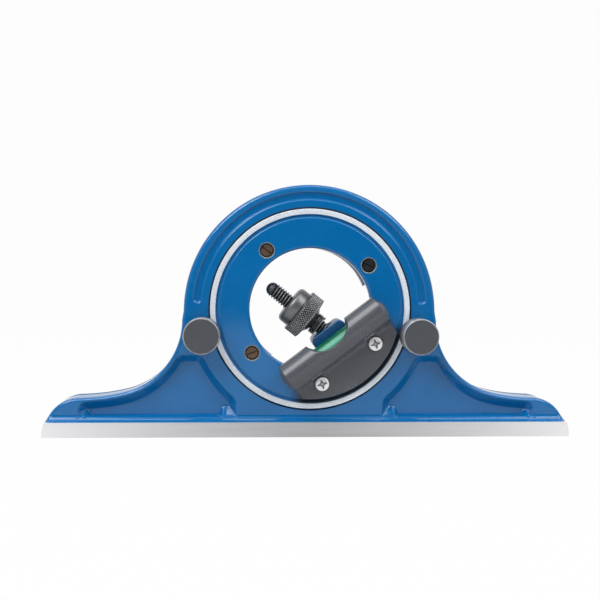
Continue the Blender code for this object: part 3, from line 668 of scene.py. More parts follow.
def round_place(tree, where, centre):
    """Node whose output is a place's way round an axis along Y, its radius and its depth."""
    moved_there = add_node(tree, "VectorMath", (-1500, 0), {1: centre}, operation="SUBTRACT")
    parts = add_node(tree, "SeparateXYZ", (-1300, 100))
    flat = add_node(tree, "VectorMath", (-1300, -100), {1: (1, 0, 1)}, operation="MULTIPLY")
    radius = add_node(tree, "VectorMath", (-1100, -100), operation="LENGTH")
    turn = add_node(tree, "Math", (-1100, 100), operation="ARCTAN2")
    way = add_node(tree, "Math", (-900, 100), {1: 0.03}, operation="MULTIPLY")
    joined = add_node(tree, "CombineXYZ", (-700, 0))
    wire(tree,
         (where, "Object", moved_there, 0), (moved_there, 0, parts, 0), (moved_there, 0, flat, 0),
         (flat, 0, radius, 0), (parts, "Z", turn, 0), (parts, "X", turn, 1), (turn, 0, way, 0),
         (way, 0, joined, "X"), (radius, "Value", joined, "Y"), (parts, "Y", joined, "Z"))
    return joined


def shade(tint, factor):
    """A colour made darker or lighter by a factor."""
    return tuple(min(1.0, c * factor) for c in tint)


def finish(name, first, second, low, high, scale, stretch=(1, 1, 1), bump=0.1, centre=None,
           worn=None, worn_gloss=0.3, even=0.5, **values):
    """A Principled material whose colour, gloss and bump come from speckle, wear and painted
    light.

    first, second, low and high are the ends of its colour and gloss. With a centre the speckle
    runs round an axis along Y, as on a turned face. Further values are the shader's own.
    """
    material = bpy.data.materials.new(name)
    material.use_nodes = True
    material.diffuse_color = (*first, 1)
    tree = material.node_tree
    shader = tree.nodes["Principled BSDF"]
    for key, value in values.items():
        shader.inputs[key.replace("_", " ")].default_value = value
    where = add_node(tree, "TexCoord", (-1700, 0))
    place = (where, "Object") if centre is None else (round_place(tree, where, centre), 0)
    spots = add_node(tree, "Group", (-500, 0), node_tree=speckle_group(), sockets={
        "Colour": (*first, 1), "Second colour": (*second, 1), "Scale": scale,
        "Stretch": stretch, "Low gloss": low, "High gloss": high})
    # This group gives wear, and on some pieces painted highlights, reflections and shade
    edges = add_node(tree, "Group", (-250, 0), node_tree=wear_group(), sockets={
        "Worn and painted light colour": (*(worn or shade(first, 1.25)), 1), "Worn roughness": worn_gloss,
        "Evenness": even})
    relief = add_node(tree, "Bump", (-250, -250), {"Strength": bump, "Distance": BUMP_DISTANCE})
    wire(tree,
         (*place, spots, "Vector"), (where, "Object", edges, "Vector"),
         (spots, "Colour", edges, "Colour"), (spots, "Roughness", edges, "Roughness"),
         (edges, "Colour", shader, "Base Color"), (edges, "Roughness", shader, "Roughness"),
         (spots, "Height", relief, "Height"), (relief, "Normal", shader, "Normal"))
    return material


def finishes():
    """The values of every finish, by the name of its material."""
    c = bpy.context.scene.head_colours
    steel, black, grey, bronze, fluid = map(tuple, (c.steel, c.black, c.grey, c.bronze, c.fluid))
    axis = (0, 0, sizes().axis_height * MM)
    boss_painted_shade, edge = shade(c.paint, 0.5), shade(c.paint, 0.65)
    ring = (steel[0] * 0.93, steel[1], steel[2] * 1.07)
    round_grain, worn_paint = (0.03, 1, 1), (0.03, 0.22, 0.5)

    def second_tone(tint):
        return (tint[0] + 0.003, tint[1] * 1.08, tint[2] * 1.06)

    def turned_grey(side):
        return dict(first=shade(grey, 0.88), second=shade(grey, 1.02), low=0.4, high=0.5,
                    scale=2500.0, stretch=round_grain, Metallic=0.2,
                    centre=(side * LOCK_SPREAD * MM, 0, LOCK_HEIGHT * MM),
                    worn=(0.34, 0.35, 0.37), worn_gloss=0.32)

    return {
        # Gloss enamel with a faint orange peel and slow changes of tone
        "blue_enamel": dict(
            first=tuple(c.paint), second=second_tone(c.paint), low=0.08, high=0.13, scale=500.0,
            bump=0.03, worn=worn_paint, worn_gloss=0.16),
        # The same enamel, darkened to half as painted shade and duller, on the boss inside the
        # opening
        "dull_enamel": dict(
            first=boss_painted_shade, second=second_tone(boss_painted_shade), low=0.3, high=0.35, scale=500.0, bump=0.03,
            worn=worn_paint, worn_gloss=0.16),
        # Enamel darkened as painted shade along the far edge of the casting's outer wall
        "edge_enamel": dict(
            first=edge, second=shade(edge, 1.1), low=0.45, high=0.55, scale=500.0, bump=0.03,
            worn=(0.02, 0.1, 0.22), Specular_IOR_Level=0.08),
        # Steel ground along the base, brighter towards its ends as a painted reflection
        "ground_steel": dict(
            first=shade(steel, 0.7), second=shade(steel, 0.6), low=0.28, high=0.45,
            scale=1300.0, stretch=(0.04, 1, 1), Metallic=1.0, bump=0.12,
            worn=shade(steel, 1.22), worn_gloss=0.36, even=1.0),
        # Cast steel faced across, with flecks that run outwards, on the turret's ring
        "ring_steel": dict(
            first=shade(ring, 1.16), second=shade(ring, 0.78), low=0.4, high=0.6, scale=2600.0,
            stretch=(1, 0.35, 1), Metallic=0.4, bump=0.35, centre=axis, worn=shade(ring, 1.15)),
        # Satin steel brushed round the axis
        "satin_dial": dict(
            first=shade(steel, 0.9), second=shade(steel, 0.78), low=0.35, high=0.5,
            scale=2200.0, stretch=round_grain, Metallic=0.6, bump=0.12, centre=axis,
            worn=steel),
        # Blackened steel, black in its grooves and worn to grey on its crests
        "black_steel": dict(
            # On the spring the lighter colour is a painted highlight
            first=black, second=shade(black, 1.6), low=0.32, high=0.4, scale=1500.0,
            Metallic=0.6, worn=(0.33, 0.335, 0.345), worn_gloss=0.36, even=0.85),
        # Dark grey with light specks on the level, and turned, bare at the rim, on a lock nut
        # On the level's barrel the lighter colour is painted light along the lower flank
        "grey_coat": dict(
            first=grey, second=shade(grey, 1.25), low=0.22, high=0.3, scale=2000.0, bump=0.2,
            worn=(0.12, 0.122, 0.13), even=0.8),
        "turned_grey_left": turned_grey(-1),
        "turned_grey_right": turned_grey(1),
        # Browned steel of small screws
        "browned_steel": dict(
            first=bronze, second=shade(bronze, 1.5), low=0.35, high=0.5, scale=2500.0,
            Metallic=0.5, bump=0.2, worn=shade(bronze, 2.0)),
        # Bright plated steel, dark in a recess as painted shade and light on its land
        "bright_steel": dict(
            first=(0.2, 0.2, 0.21), second=(0.3, 0.3, 0.31), low=0.3, high=0.4, scale=1800.0,
            Metallic=0.25, worn=(0.95, 0.95, 0.96), even=0.9),
        # Bare metal at the edge of a screw's seat, where the paint is cut away
        "bare_rim": dict(
            first=(0.3, 0.31, 0.3), second=(0.17, 0.18, 0.18), low=0.35, high=0.5,
            scale=3500.0, Metallic=0.5, worn=(0.42, 0.42, 0.4)),
        # Black filling of the engraved scale
        "scale_ink": dict(
            first=(0.012, 0.012, 0.013), second=(0.022, 0.022, 0.023), low=0.4, high=0.5,
            scale=2000.0),
        # Vial glass, coloured by what fills it, with a painted highlight band along its upper part
        "tinted_vial_glass": dict(
            first=(0.003, 0.12, 0.06), second=(0.003, 0.105, 0.05), low=0.22, high=0.28,
            scale=400.0, bump=0.01, worn=(0.2, 0.6, 0.43), worn_gloss=0.2, even=1.0,
            Transmission_Weight=0.1, Specular_IOR_Level=0.15, IOR=1.5),
        # Bright green fluid of the level
        "level_fluid": dict(
            first=fluid, second=shade(fluid, 0.85), low=0.05, high=0.12, scale=200.0, bump=0.02,
            Coat_Weight=0.6),
    }


def material_of(name):
    """The material of a finish, made when it is first asked for."""
    return bpy.data.materials.get(name) or finish(name, **finishes()[name])


# The casting

ARCH_DROP = 0.7
FLANK_RADIUS = 25.2
FLANK_SWEEP = radians(75)
TIP_REACH = 11.2
TIP_FOOT = 0.5
TIP_RISE = 12.1
SHOULDER_FALL = radians(2)
FLANK_WALL = 1.2
SHOULDER_WALL = 0.9
RIB_RADIUS = 39.35
POCKET_START = 24.7
POCKET_TOP = 27.5
CHANNEL_END = radians(4.9)
CHANNEL_RIM = 0.85
CHANNEL_SPILL = 0.52
LOCK_SQUARE = 3.1
LOCK_FLOOR = 4.8
FAR_EDGE = 3.6


def flank_centre(s):
    """Centre of the circle that hollows the right flank."""
    return (s.arch_radius + 0.5 + FLANK_RADIUS, s.axis_height - ARCH_DROP - 3.2)


def wing_line(s, flank_in=0.0, shoulder_in=0.0):
    """Right flank and shoulder, moved into the casting by two widths: a circle and a cubic."""
    flank = arc(flank_centre(s), FLANK_RADIUS + flank_in, pi, pi + FLANK_SWEEP, 60)
    tip = (s.base_length / 2 - TIP_REACH, TIP_FOOT + TIP_RISE - shoulder_in)
    shoulder = cubic(flank[-1], FLANK_SWEEP - pi / 2, tip, -SHOULDER_FALL, 40)
    return np.vstack([flank, shoulder[1:]])


def tip_line(s, turn):
    """The right tip, a quarter of an ellipse: sine of the turn outwards, cosine upwards."""
    return np.stack([s.base_length / 2 - TIP_REACH * (1 - np.sin(turn)),
                     TIP_FOOT + TIP_RISE * np.cos(turn)], 1)


def casting_outline(s):
    """Closed outline above the bare strip, and the count of the points on its right side.

    It is the arch, the flanks, the shoulders, the elliptic tips and a straight foot.
    """
    arch = arc((0, s.axis_height - ARCH_DROP), s.arch_radius, pi / 2, 0, 120)
    right = np.vstack([arch, wing_line(s), tip_line(s, np.linspace(0, pi / 2, 60)[1:])])
    last = np.argmin(right[:, 1] > s.flange_height) - 1
    a, b = right[last], right[last + 1]
    foot = a + (b - a) * (a[1] - s.flange_height) / (a[1] - b[1])
    right = resampled(np.vstack([right[:last + 1], foot]), 0.55)
    left = right[::-1] * (-1, 1)
    base = np.linspace(foot[0], -foot[0], 240)[1:-1]
    base = np.stack([base, np.full(len(base), s.flange_height)], 1)
    return np.vstack([right, base, left[:-1]]), len(right)


def pocket_floor(s):
    """Closed outline of the right pocket's floor, from which its walls rise outwards."""
    depth = s.pocket_depth
    inner, start, top = RIB_RADIUS + depth, POCKET_START + depth, POCKET_TOP - depth
    low = asin((s.axis_height - top) / inner)
    high = atan2(sqrt(inner ** 2 - start ** 2), start)
    rib = arc((0, s.axis_height), inner, -high, -low, 60)
    edge = wing_line(s, FLANK_WALL + depth, SHOULDER_WALL + depth)
    end = s.base_length / 2 - TIP_REACH - depth
    edge = edge[(edge[:, 1] < top) & (edge[:, 0] < end)]
    centre = flank_centre(s)
    reach = FLANK_RADIUS + FLANK_WALL + depth
    corner = (centre[0] - sqrt(reach ** 2 - (centre[1] - top) ** 2), top)
    below = s.flange_height - 3
    points = np.vstack([[(start, below)], rib, [corner], edge, [(end, edge[-1, 1]), (end, below)]])
    return softened(points, 1.3, 2)


def channel_near(points, s):
    """Distance from the middle of the arch's channel, whose ends are round."""
    angle = np.arctan2(points[:, 1] - s.axis_height, points[:, 0])
    turn = np.clip(angle, CHANNEL_END, pi - CHANNEL_END)
    turn = np.where(angle < -pi / 2, pi - CHANNEL_END, turn)
    middle = np.stack([np.cos(turn), np.sin(turn)], 1)
    middle = s.channel_radius * middle + (0, s.axis_height)
    return np.hypot(*(points - middle).T)


def pocket_hollow(points, floor, s):
    """Depth of a pocket: walls at 45 degrees, eased at the rim and the floor, over a steep foot.

    In its inner corner a mound rises at 42 degrees and is narrowed along the base by a fourth
    power, and in its outer corner stands a small cone.
    """
    foot_slope, foot_line = 6.0, 6.45
    mound_slope, mound_line, mound_middle, mound_half = 0.9, 6.6, 27.3, 3.6
    cone_slope, cone_line, cone_inset, cone_top = 1.5, 6.5, 13.2, 0.3
    blend = 0.5
    across, up = np.abs(points[:, 0]), points[:, 1]
    sign = np.where(inside(points, floor), -1.0, 1.0)
    rise = s.pocket_depth - sign * distance(points, floor)
    hollow = eased(rise, 0.32) - eased(rise - s.pocket_depth, 0.55)
    foot = eased(foot_slope * (up - foot_line), 0.5)
    narrow = s.pocket_depth * ((across - mound_middle) / mound_half) ** 4
    mound = eased(mound_slope * (up - mound_line) + narrow, 0.25)
    tail = np.hypot(across - (s.base_length / 2 - cone_inset), up - cone_line)
    mound = np.minimum(mound, eased(cone_slope * (tail - cone_top), 0.4))
    return soft_least(soft_least(hollow, foot, blend), mound, blend)


def channel_fall(run, depth):
    """Fall over the channel's rim: a circle up to 70 degrees, then a straight wall down."""
    turned_by, wall_slope = 0.8, 2.8
    circle = CHANNEL_RIM - np.sqrt(CHANNEL_RIM ** 2 - np.clip(run, 0, turned_by) ** 2)
    wall = circle + wall_slope * np.clip(run - turned_by, 0, None)
    return soft_least(wall, np.full(len(run), depth), 0.3)


def casting_heights(s, rim, floors, ring_bore, hub_bore):
    """The functions that give the Y of the casting's back face and of its front face."""
    bore_edge = 0.25

    def rim_drop(p):
        return edge_drop(distance(p, rim, closed=False), s.rounding)

    def back_height(p):
        radius = np.hypot(p[:, 0], p[:, 1] - s.axis_height)
        hollow = sum(pocket_hollow(p, f, s) for f in floors)
        hollow += channel_fall(s.channel_width / 2 + CHANNEL_SPILL - channel_near(p, s),
                               s.channel_depth)
        hollow += edge_drop(radius - ring_bore, bore_edge)
        crown = np.clip((radius - 38.7) / 3.6, 0, 1.2) ** 2 * 0.62
        hollow += crown * np.clip((p[:, 1] - s.axis_height + 4) / 10, 0, 1)
        low = np.clip(s.flange_height + s.ledge_rise - p[:, 1], 0, s.ledge_rise)
        hollow -= s.ledge_rise - np.sqrt(s.ledge_rise ** 2 - low ** 2)
        return s.base_depth / 2 - s.web_depth + hollow + rim_drop(p)

    def front_height(p):
        radius = np.hypot(p[:, 0], p[:, 1] - s.axis_height)
        hollow = sum(pocket_hollow(p, f, s) for f in floors)
        hollow += edge_drop(radius - hub_bore, bore_edge)
        return s.base_depth / 2 - hollow - rim_drop(p)

    return back_height, front_height


def pocket_points(s, floors):
    """Points that follow the pockets: loops round the floors, grids at the foot and mound."""
    floor_offsets = (-0.8, -0.55, -0.3, -0.05, 0.2, 0.5, 1.0, 1.6, 2.2, 2.5, 2.62, 2.74, 2.86,
                     2.98, 3.14, 3.4)
    foot_rows = (6.32, 6.37, 6.42, 6.47, 6.53, 6.6, 6.68, 6.76, 6.84, 6.92, 7.0, 7.12, 7.3, 7.5)
    loops = []
    for loop in floors:
        away = -inward_of(loop)
        loops += [loop + away * d for d in floor_offsets]
    loops = np.vstack(loops)
    columns = np.concatenate([np.arange(0, 88.6, 0.5), np.arange(23.125, 32.0, 0.25),
                              np.arange(72.125, 79.0, 0.25)])
    columns = np.unique(np.concatenate([columns, -columns]))
    ledge = 1 - np.sin(np.radians(np.arange(22, 88, 8.0)))
    foot = crossings(columns, [*(s.flange_height + s.ledge_rise * ledge), *foot_rows])
    patch = crossings(np.arange(22.75, 32.1, 0.25), np.arange(7.7, 11.1, 0.2))
    return foot, loops[loops[:, 1] > 7.7], np.vstack([patch, patch * (-1, 1)])


def channel_points(s):
    """Points that follow the arch's channel: arcs beside its middle and circles at its ends."""
    steps = np.array([-0.1, 0, 0.1, 0.2, 0.3, 0.4, 0.5, 0.58, 0.66, 0.73, 0.8, 0.86, 0.92, 1.0,
                      1.1, 1.25, 1.5])
    across = s.channel_width / 2 + CHANNEL_SPILL - steps
    axis, ends = np.array((0.0, s.axis_height)), (CHANNEL_END, pi - CHANNEL_END)
    lines = [arc(axis, s.channel_radius + off, *ends, 300) for off in (*across, 0, *-across)]
    for end in ends:
        centre = axis + s.channel_radius * np.array([cos(end), sin(end)])
        lines += [arc(centre, r, 0, 2 * pi, 40) for r in across]
    return lines


def casting_faces(s):
    """The two faces of the casting and the rows between them."""
    outline, run = casting_outline(s)
    rim = np.vstack([outline[-(run - 1):], outline[:run]])
    inward = normals_of(rim, closed=False)
    axis = np.array((0.0, s.axis_height))
    circle = unit_circle(FINE_STEPS)
    ring_bore, hub_bore = s.ring_radius + BORE_GAP, s.hub_radius + BORE_GAP
    floor = pocket_floor(s)
    floors = [floor, (floor * (-1, 1))[::-1]]
    lock_circle = unit_circle(COARSE_STEPS, 0.5)
    locks, squares = [], []
    for side in (-1, 1):
        place = np.array((side * LOCK_SPREAD, LOCK_HEIGHT))
        tilt = -side * atan2(s.axis_height - LOCK_HEIGHT, LOCK_SPREAD)
        square = lock_circle / np.abs(lock_circle).max(1)[:, None] * LOCK_SQUARE
        locks.append(place + lock_circle * LOCK_HOLE)
        squares.append(place + square @ np.array([[cos(tilt), sin(tilt)],
                                                  [-sin(tilt), cos(tilt)]]))

    foot, pockets, patch = pocket_points(s, floors)
    rings = [rim + inward * d for d in edge_rings(s.rounding)]
    wide_rings = [rim + inward * d for d in (1.9, 2.7, 3.6)]
    crown_rings = [arc(axis, r, -0.3, pi + 0.3, 240) for r in (39.0, 39.5, 40.0, 40.5, 41.0, 41.5)]
    coarse = crossings(np.arange(-86.0, 86.1, 2.5), np.arange(9.0, 84.0, 2.5))
    bore_offsets = (0.03, 0.09, 0.17, 0.26, 0.4)
    bore_rings = [axis + circle * (ring_bore + d) for d in bore_offsets]
    hub_rings = [axis + circle * (hub_bore + d) for d in bore_offsets]
    shared = [foot, *rings, pockets]
    back_extra = spaced([*shared, *channel_points(s), *bore_rings], (0.12, [patch]),
                        (0.4, [*wide_rings, *crown_rings]), (0.9, [coarse]))
    front_extra = spaced([*shared, *hub_rings], (0.12, [patch]), (0.4, wide_rings),
                         (0.9, [coarse]))

    holes_back = [axis + circle * ring_bore, *locks]
    holes_front = [axis + circle * hub_bore, *squares]
    back_height, front_height = casting_heights(s, rim, floors, ring_bore, hub_bore)
    back = face_mesh([outline, *holes_back], back_extra, back_height)
    front = face_mesh([outline, *holes_front], front_extra, front_height)
    back_edge, front_edge = back[1][:len(outline)], front[1][:len(outline)]
    side = [(outline, back_edge + (front_edge - back_edge) * t) for t in (0.25, 0.5, 0.75, 0.84)]
    walls = [(len(outline), side)]
    for low, high, floor_y in zip(holes_back, holes_front, (LIP_BACK, LOCK_FLOOR, LOCK_FLOOR)):
        walls.append((len(low), [(low, floor_y), (high, floor_y)]))
    return back, front, walls


def strip_mesh(s):
    """The bare strip: stations along the base, each a back foot, a back top and their fronts.

    Between the elliptic tips the top is flat. The value that brightens the steel as a painted
    reflection grows towards the ends by a power of the distance from the middle.
    """
    half = s.base_length / 2
    start = acos((s.flange_height - TIP_FOOT) / TIP_RISE)
    side = tip_line(s, np.concatenate([[start], np.linspace(radians(68.2), pi / 2, 12)]))
    middle = np.arange(-76.0, 77.0, 4.0)
    across = np.concatenate([-side[::-1, 0], middle, side[:, 0]])[:, None]
    tops = np.concatenate([side[::-1, 1], 0 * middle + s.flange_height, side[:, 1]])[:, None]
    depth = np.array([-1, -1, 1, 1]) * s.base_depth / 2
    points = np.stack(np.broadcast_arrays(across, depth, tops * np.array([0, 1, 1, 0])), -1)
    caps = np.array([[3, 2, 1, 0], np.arange(4) + 4 * len(across) - 4])
    # Painted reflection: the steel brightens towards the ends of the strip
    crest_and_painted_light = np.repeat((np.abs(across[:, 0]) / half) ** 1.4, 4)
    faces = [grid_quads(len(across), 4, wrap=True), caps]
    return closed_mesh("base_strip", points, faces, None, crest_and_painted_light, 30.0)


class HEAD_OT_casting(bpy.types.Operator):
    """Build the painted casting and the bare strip along its base"""

    bl_idname = "protractor_head.casting"
    bl_label = "Casting"

    def execute(self, context):
        s = sizes()
        outline = casting_outline(s)[0]
        casting = faced_solid("casting", *casting_faces(s))
        edge_wear(casting, 0.08, 0.25)

        # Painted shade: the back face darkens towards near black within 0.32 mm of the ring's bore
        def near_bore(p):
            out = np.hypot(p[:, 0], p[:, 2] - s.axis_height) - s.ring_radius - BORE_GAP
            return 0.85 * np.clip((0.32 - out) / 0.2, 0, 1) * (p[:, 1] < 0)

        # Faces that take the painted shade: a band along the far edge of the outer wall
        def on_far_edge(middles):
            far = middles[:, 1] > s.base_depth / 2 - FAR_EDGE
            picked = far & (middles[:, 2] > s.flange_height)
            picked[picked] = distance(middles[picked][:, [0, 2]], outline) < 0.35
            return picked

        point_values(casting, "painted_shade", near_bore)
        dress(casting, material_of("blue_enamel"), "casting", "protractor_body", "protractor_body")
        second_material(casting, material_of("edge_enamel"), on_far_edge)
        strip = bevelled(strip_mesh(s), 0.08, angle=40.0)
        dress(strip, material_of("ground_steel"), "casting", "protractor_body")
        return {"FINISHED"}


# The turret and its boss

SEAT_RADIUS = 2.4
SEAT_FLOOR = -2.3
DIAL_HOLE = 1.4
LEVEL_HOLE = 1.55
LEVEL_HOLE_FLOOR = 1.0
HUB_MOUTH = 22.4
GROOVE_START = 30.75
BOSS_HALF = 6.5
BOSS_TOP = 8.55
BOSS_CORNER = 2.0
BOSS_LOW = 26.1
BOSS_BACK = -4.4
BOSS_FRONT = 7.4
BOSS_EDGE = 0.5
THROAT_RADIUS = 2.75
THROAT_REACH = 5.0


def turret_faces(s):
    """The two faces of the turret and the rows between them, in the turret's own frame."""
    circle, small = unit_circle(FINE_STEPS), unit_circle(COARSE_STEPS)
    web_back = s.base_depth / 2 - s.web_depth
    inner_ring = s.ring_radius - s.ring_width
    back_radii = (20.62, 20.68, 20.77, 20.9, 21.06, 21.24, 21.4, 21.55, 30.45, 30.55, 30.66,
                  30.77, 30.88, 31.0, 31.2, 31.35, 31.5, 31.65, 31.8)
    seat_radii = (2.45, 2.51, 2.58, 2.64, 2.7, 2.8)

    def back_height(p):
        radius = np.hypot(*p.T)
        rise = radius - GROOVE_START
        drop = 1.1 * (eased(rise, 0.22) - eased(rise - 0.8, 0.2))
        drop += edge_drop(radius - s.opening_radius, 0.8)
        for c in SEAT_PLACES:
            drop += edge_drop(np.hypot(*(p - c).T) - SEAT_RADIUS, 0.3)
        return web_back + drop

    def front_height(p):
        return TURRET_FRONT - edge_drop(s.hub_radius - np.hypot(*p.T), 0.25)

    def holes(radius, places):
        return [c + small * radius for c in places]

    back_loops = [circle * inner_ring, circle * s.opening_radius, *holes(SEAT_RADIUS, SEAT_PLACES),
                  *holes(LEVEL_HOLE, LEVEL_SCREWS)]
    front_loops = [circle * s.hub_radius, circle * HUB_MOUTH, *holes(DIAL_HOLE, SEAT_PLACES),
                   *holes(LEVEL_HOLE - 0.01, LEVEL_SCREWS)]
    back_extra = [circle * r for r in back_radii]
    back_extra += [c + small * r for c in SEAT_PLACES for r in seat_radii]
    front_extra = [circle * (s.hub_radius - d) for d in (0.03, 0.09, 0.17, 0.26, 0.4)]
    back = face_mesh(back_loops, np.vstack(back_extra), back_height)
    front = face_mesh(front_loops, np.vstack(front_extra), front_height)

    taper = s.opening_radius + 0.12
    in_slot = (np.abs(circle[:, 0]) < 0.198) & (circle[:, 1] < 0)
    notch = np.where(in_slot, SLOT_END / np.maximum(-circle[:, 1], 0.5), taper)
    floors = [FLANGE_FRONT, None, *[SEAT_FLOOR] * 3, *[LEVEL_HOLE_FLOOR] * 2]
    walls = [(len(low), [(low, y), (high, y)])
             for low, high, y in zip(back_loops, front_loops, floors)]
    walls[1] = (len(circle), [(circle * s.opening_radius, -2.0),
                              (circle * taper, SLOT_FLOOR - 0.05),
                              (circle * notch[:, None], SLOT_FLOOR)])
    return back, front, walls


class HEAD_OT_turret(bpy.types.Operator):
    """Build the painted turret and its bare ring"""

    bl_idname = "protractor_head.turret"
    bl_label = "Turret"

    def execute(self, context):
        s = sizes()
        place = turret_frame()
        back = place.inverted()
        turret = faced_solid("turret_casting", *turret_faces(s), place)

        # Painted shadow: the groove beside the level's plate darkens towards near black
        def in_groove(p):
            radius, turn = np.hypot(p[:, 0], p[:, 2]), np.degrees(np.arctan2(p[:, 2], p[:, 0]))
            wide = np.clip((turn + 140) / 8, 0, 1) * np.clip((-45 - turn) / 8, 0, 1)
            ring = np.clip((radius - 29.9) / 0.3, 0, 1) * (radius < 33.0)
            return 0.95 * ring * wide * (p[:, 1] < 0)

        def at_seat(middles):
            local = moved(middles, back)
            near = [np.hypot(local[:, 0] - x, local[:, 2] - z) for x, z in SEAT_PLACES]
            return (np.min(near, axis=0) < SEAT_RADIUS + 0.34) & (local[:, 1] < -2.0)

        edge_wear(turret, 0.08, 0.25)
        point_values(turret, "painted_shade", in_groove, back)
        dress(turret, material_of("blue_enamel"), "turning_turret", "turret", "turret")
        second_material(turret, material_of("bare_rim"), at_seat)

        web_back = s.base_depth / 2 - s.web_depth
        inner, start = s.ring_radius - s.ring_width, -3.0
        profile = rounded([(inner, start), (inner, web_back), (s.ring_radius, web_back),
                           (s.ring_radius, FLANGE_FRONT), (inner, FLANGE_FRONT), (inner, start)],
                          (0.12, 0.2, 0.15, 0))
        ring = turned("turret_ring", profile, place, FINE_STEPS, "Y")
        dress(ring, material_of("ring_steel"), "turning_turret", "turret")
        return {"FINISHED"}


class HEAD_OT_boss(bpy.types.Operator):
    """Build the boss that the draw bolt swings in"""

    bl_idname = "protractor_head.boss"
    bl_label = "Boss"

    def execute(self, context):
        half, corner = BOSS_HALF, BOSS_CORNER
        right = arc((half - corner, -BOSS_TOP - corner), corner, 0, pi / 2, 10)
        left = arc((corner - half, -BOSS_TOP - corner), corner, pi / 2, pi, 10)
        outline = np.vstack([right, left, [(-half, -BOSS_LOW), (half, -BOSS_LOW)]])
        loop = resampled(outline, 0.3, closed=True)
        extra = np.vstack([loop + inward_of(loop) * d for d in edge_rings(BOSS_EDGE)])

        def rim_drop(p):
            return edge_drop(distance(p, loop), BOSS_EDGE)

        back = face_mesh([loop], extra, lambda p: BOSS_BACK + rim_drop(p))
        front = face_mesh([loop], extra, lambda p: BOSS_FRONT - rim_drop(p))
        boss = faced_solid("bolt_boss", back, front, [(len(loop), [(loop, BOLT_AXIS_Y)])])

        mouth = THROAT_RADIUS + THROAT_REACH * tan(radians(18))
        profile = [(0, THROAT_REACH), (mouth, THROAT_REACH), (THROAT_RADIUS, 0),
                   (mouth, -THROAT_REACH), (0, -THROAT_REACH)]
        throat = turned("throat", profile, Matrix.Translation((0, BOLT_AXIS_Y, -PIVOT_OFFSET)), 64)
        slot = closed_mesh("slot", *box_piece((-SLOT_HALF, SLOT_FLOOR, -SLOT_END),
                                              (SLOT_HALF, 9.0, SLOT_START)), angle=30.0)
        for tool in (slot, throat):
            cut = boss.modifiers.new(tool.name, "BOOLEAN")
            cut.object, cut.solver, cut.operation = tool, "EXACT", "DIFFERENCE"
        result = boss.evaluated_get(context.evaluated_depsgraph_get())
        boss.data = bpy.data.meshes.new_from_object(result)
        boss.modifiers.clear()
        bpy.data.objects.remove(throat)
        bpy.data.objects.remove(slot)
        place = turret_frame()
        place.translation *= MM
        boss.data.transform(place)
        closed_up(boss)
        edge_wear(boss, 0.1, 0.3)
        # The boss's enamel is darkened as painted shade
        dress(boss, material_of("dull_enamel"), "turning_turret", "turret")
        return {"FINISHED"}


def box_piece(low, high):
    """Points and faces of one box."""
    corners, quads = boxes_at(low, high)
    return corners, [quads]


# The level

BARREL_RADIUS = 5.2
BARREL_MIDDLE = -13.9
BARREL_Y = -9.6
BARREL_ENDS = (-20.3, 18.7)
HOLDER_BACK = -5.3
HOLDER_FACE = -7.3
HOLDER_RADIUS = 30.3
HOLDER_FILLET = 1.8
HOLDER_EDGE = 0.22
SCOOP_MIDDLE = (-0.8, -8.2)
SCOOP_RADII = (8.0, 5.7)
SEAT_DEPTH = 0.6
SEAT_WALL = 2.48
SEAT_SIDE = 2.2
VIAL_RADIUS = 2.85
HEAD_RADIUS = 2.35
SHANK_RADIUS = 1.25
HEAD_HEIGHT = 1.3
SHANK_LENGTH = 5.5


def holder_loop():
    """Closed outline of the holder, its stretches with a rounded edge, and its scoop.

    It is the top line with the oval scoop, two ends and the arc of the plate.
    """
    low, high = BARREL_ENDS
    top = BARREL_MIDDLE + BARREL_RADIUS
    dip = asin((SCOOP_MIDDLE[1] - top) / SCOOP_RADII[1])
    scoop = np.linspace(pi + dip, 2 * pi - dip, 60)
    scoop = np.stack([SCOOP_MIDDLE[0] + SCOOP_RADII[0] * np.cos(scoop),
                      SCOOP_MIDDLE[1] + SCOOP_RADII[1] * np.sin(scoop)], 1)
    start, end = [atan2(-sqrt(HOLDER_RADIUS ** 2 - x ** 2), x) for x in (high, low)]
    rim = arc((0, 0), HOLDER_RADIUS, start, end, 110)

    def between(a, b, count):
        return np.linspace(a, b, count + 1)[:-1]

    parts = [between((low, top), scoop[0], 26), scoop, between(scoop[-1], (high, top), 26)[1:],
             between((high, top), rim[0], 36), rim[:-1], between(rim[-1], (low, top), 34)]
    return np.vstack(parts), np.vstack([*parts[3:], parts[0][:1]]), scoop


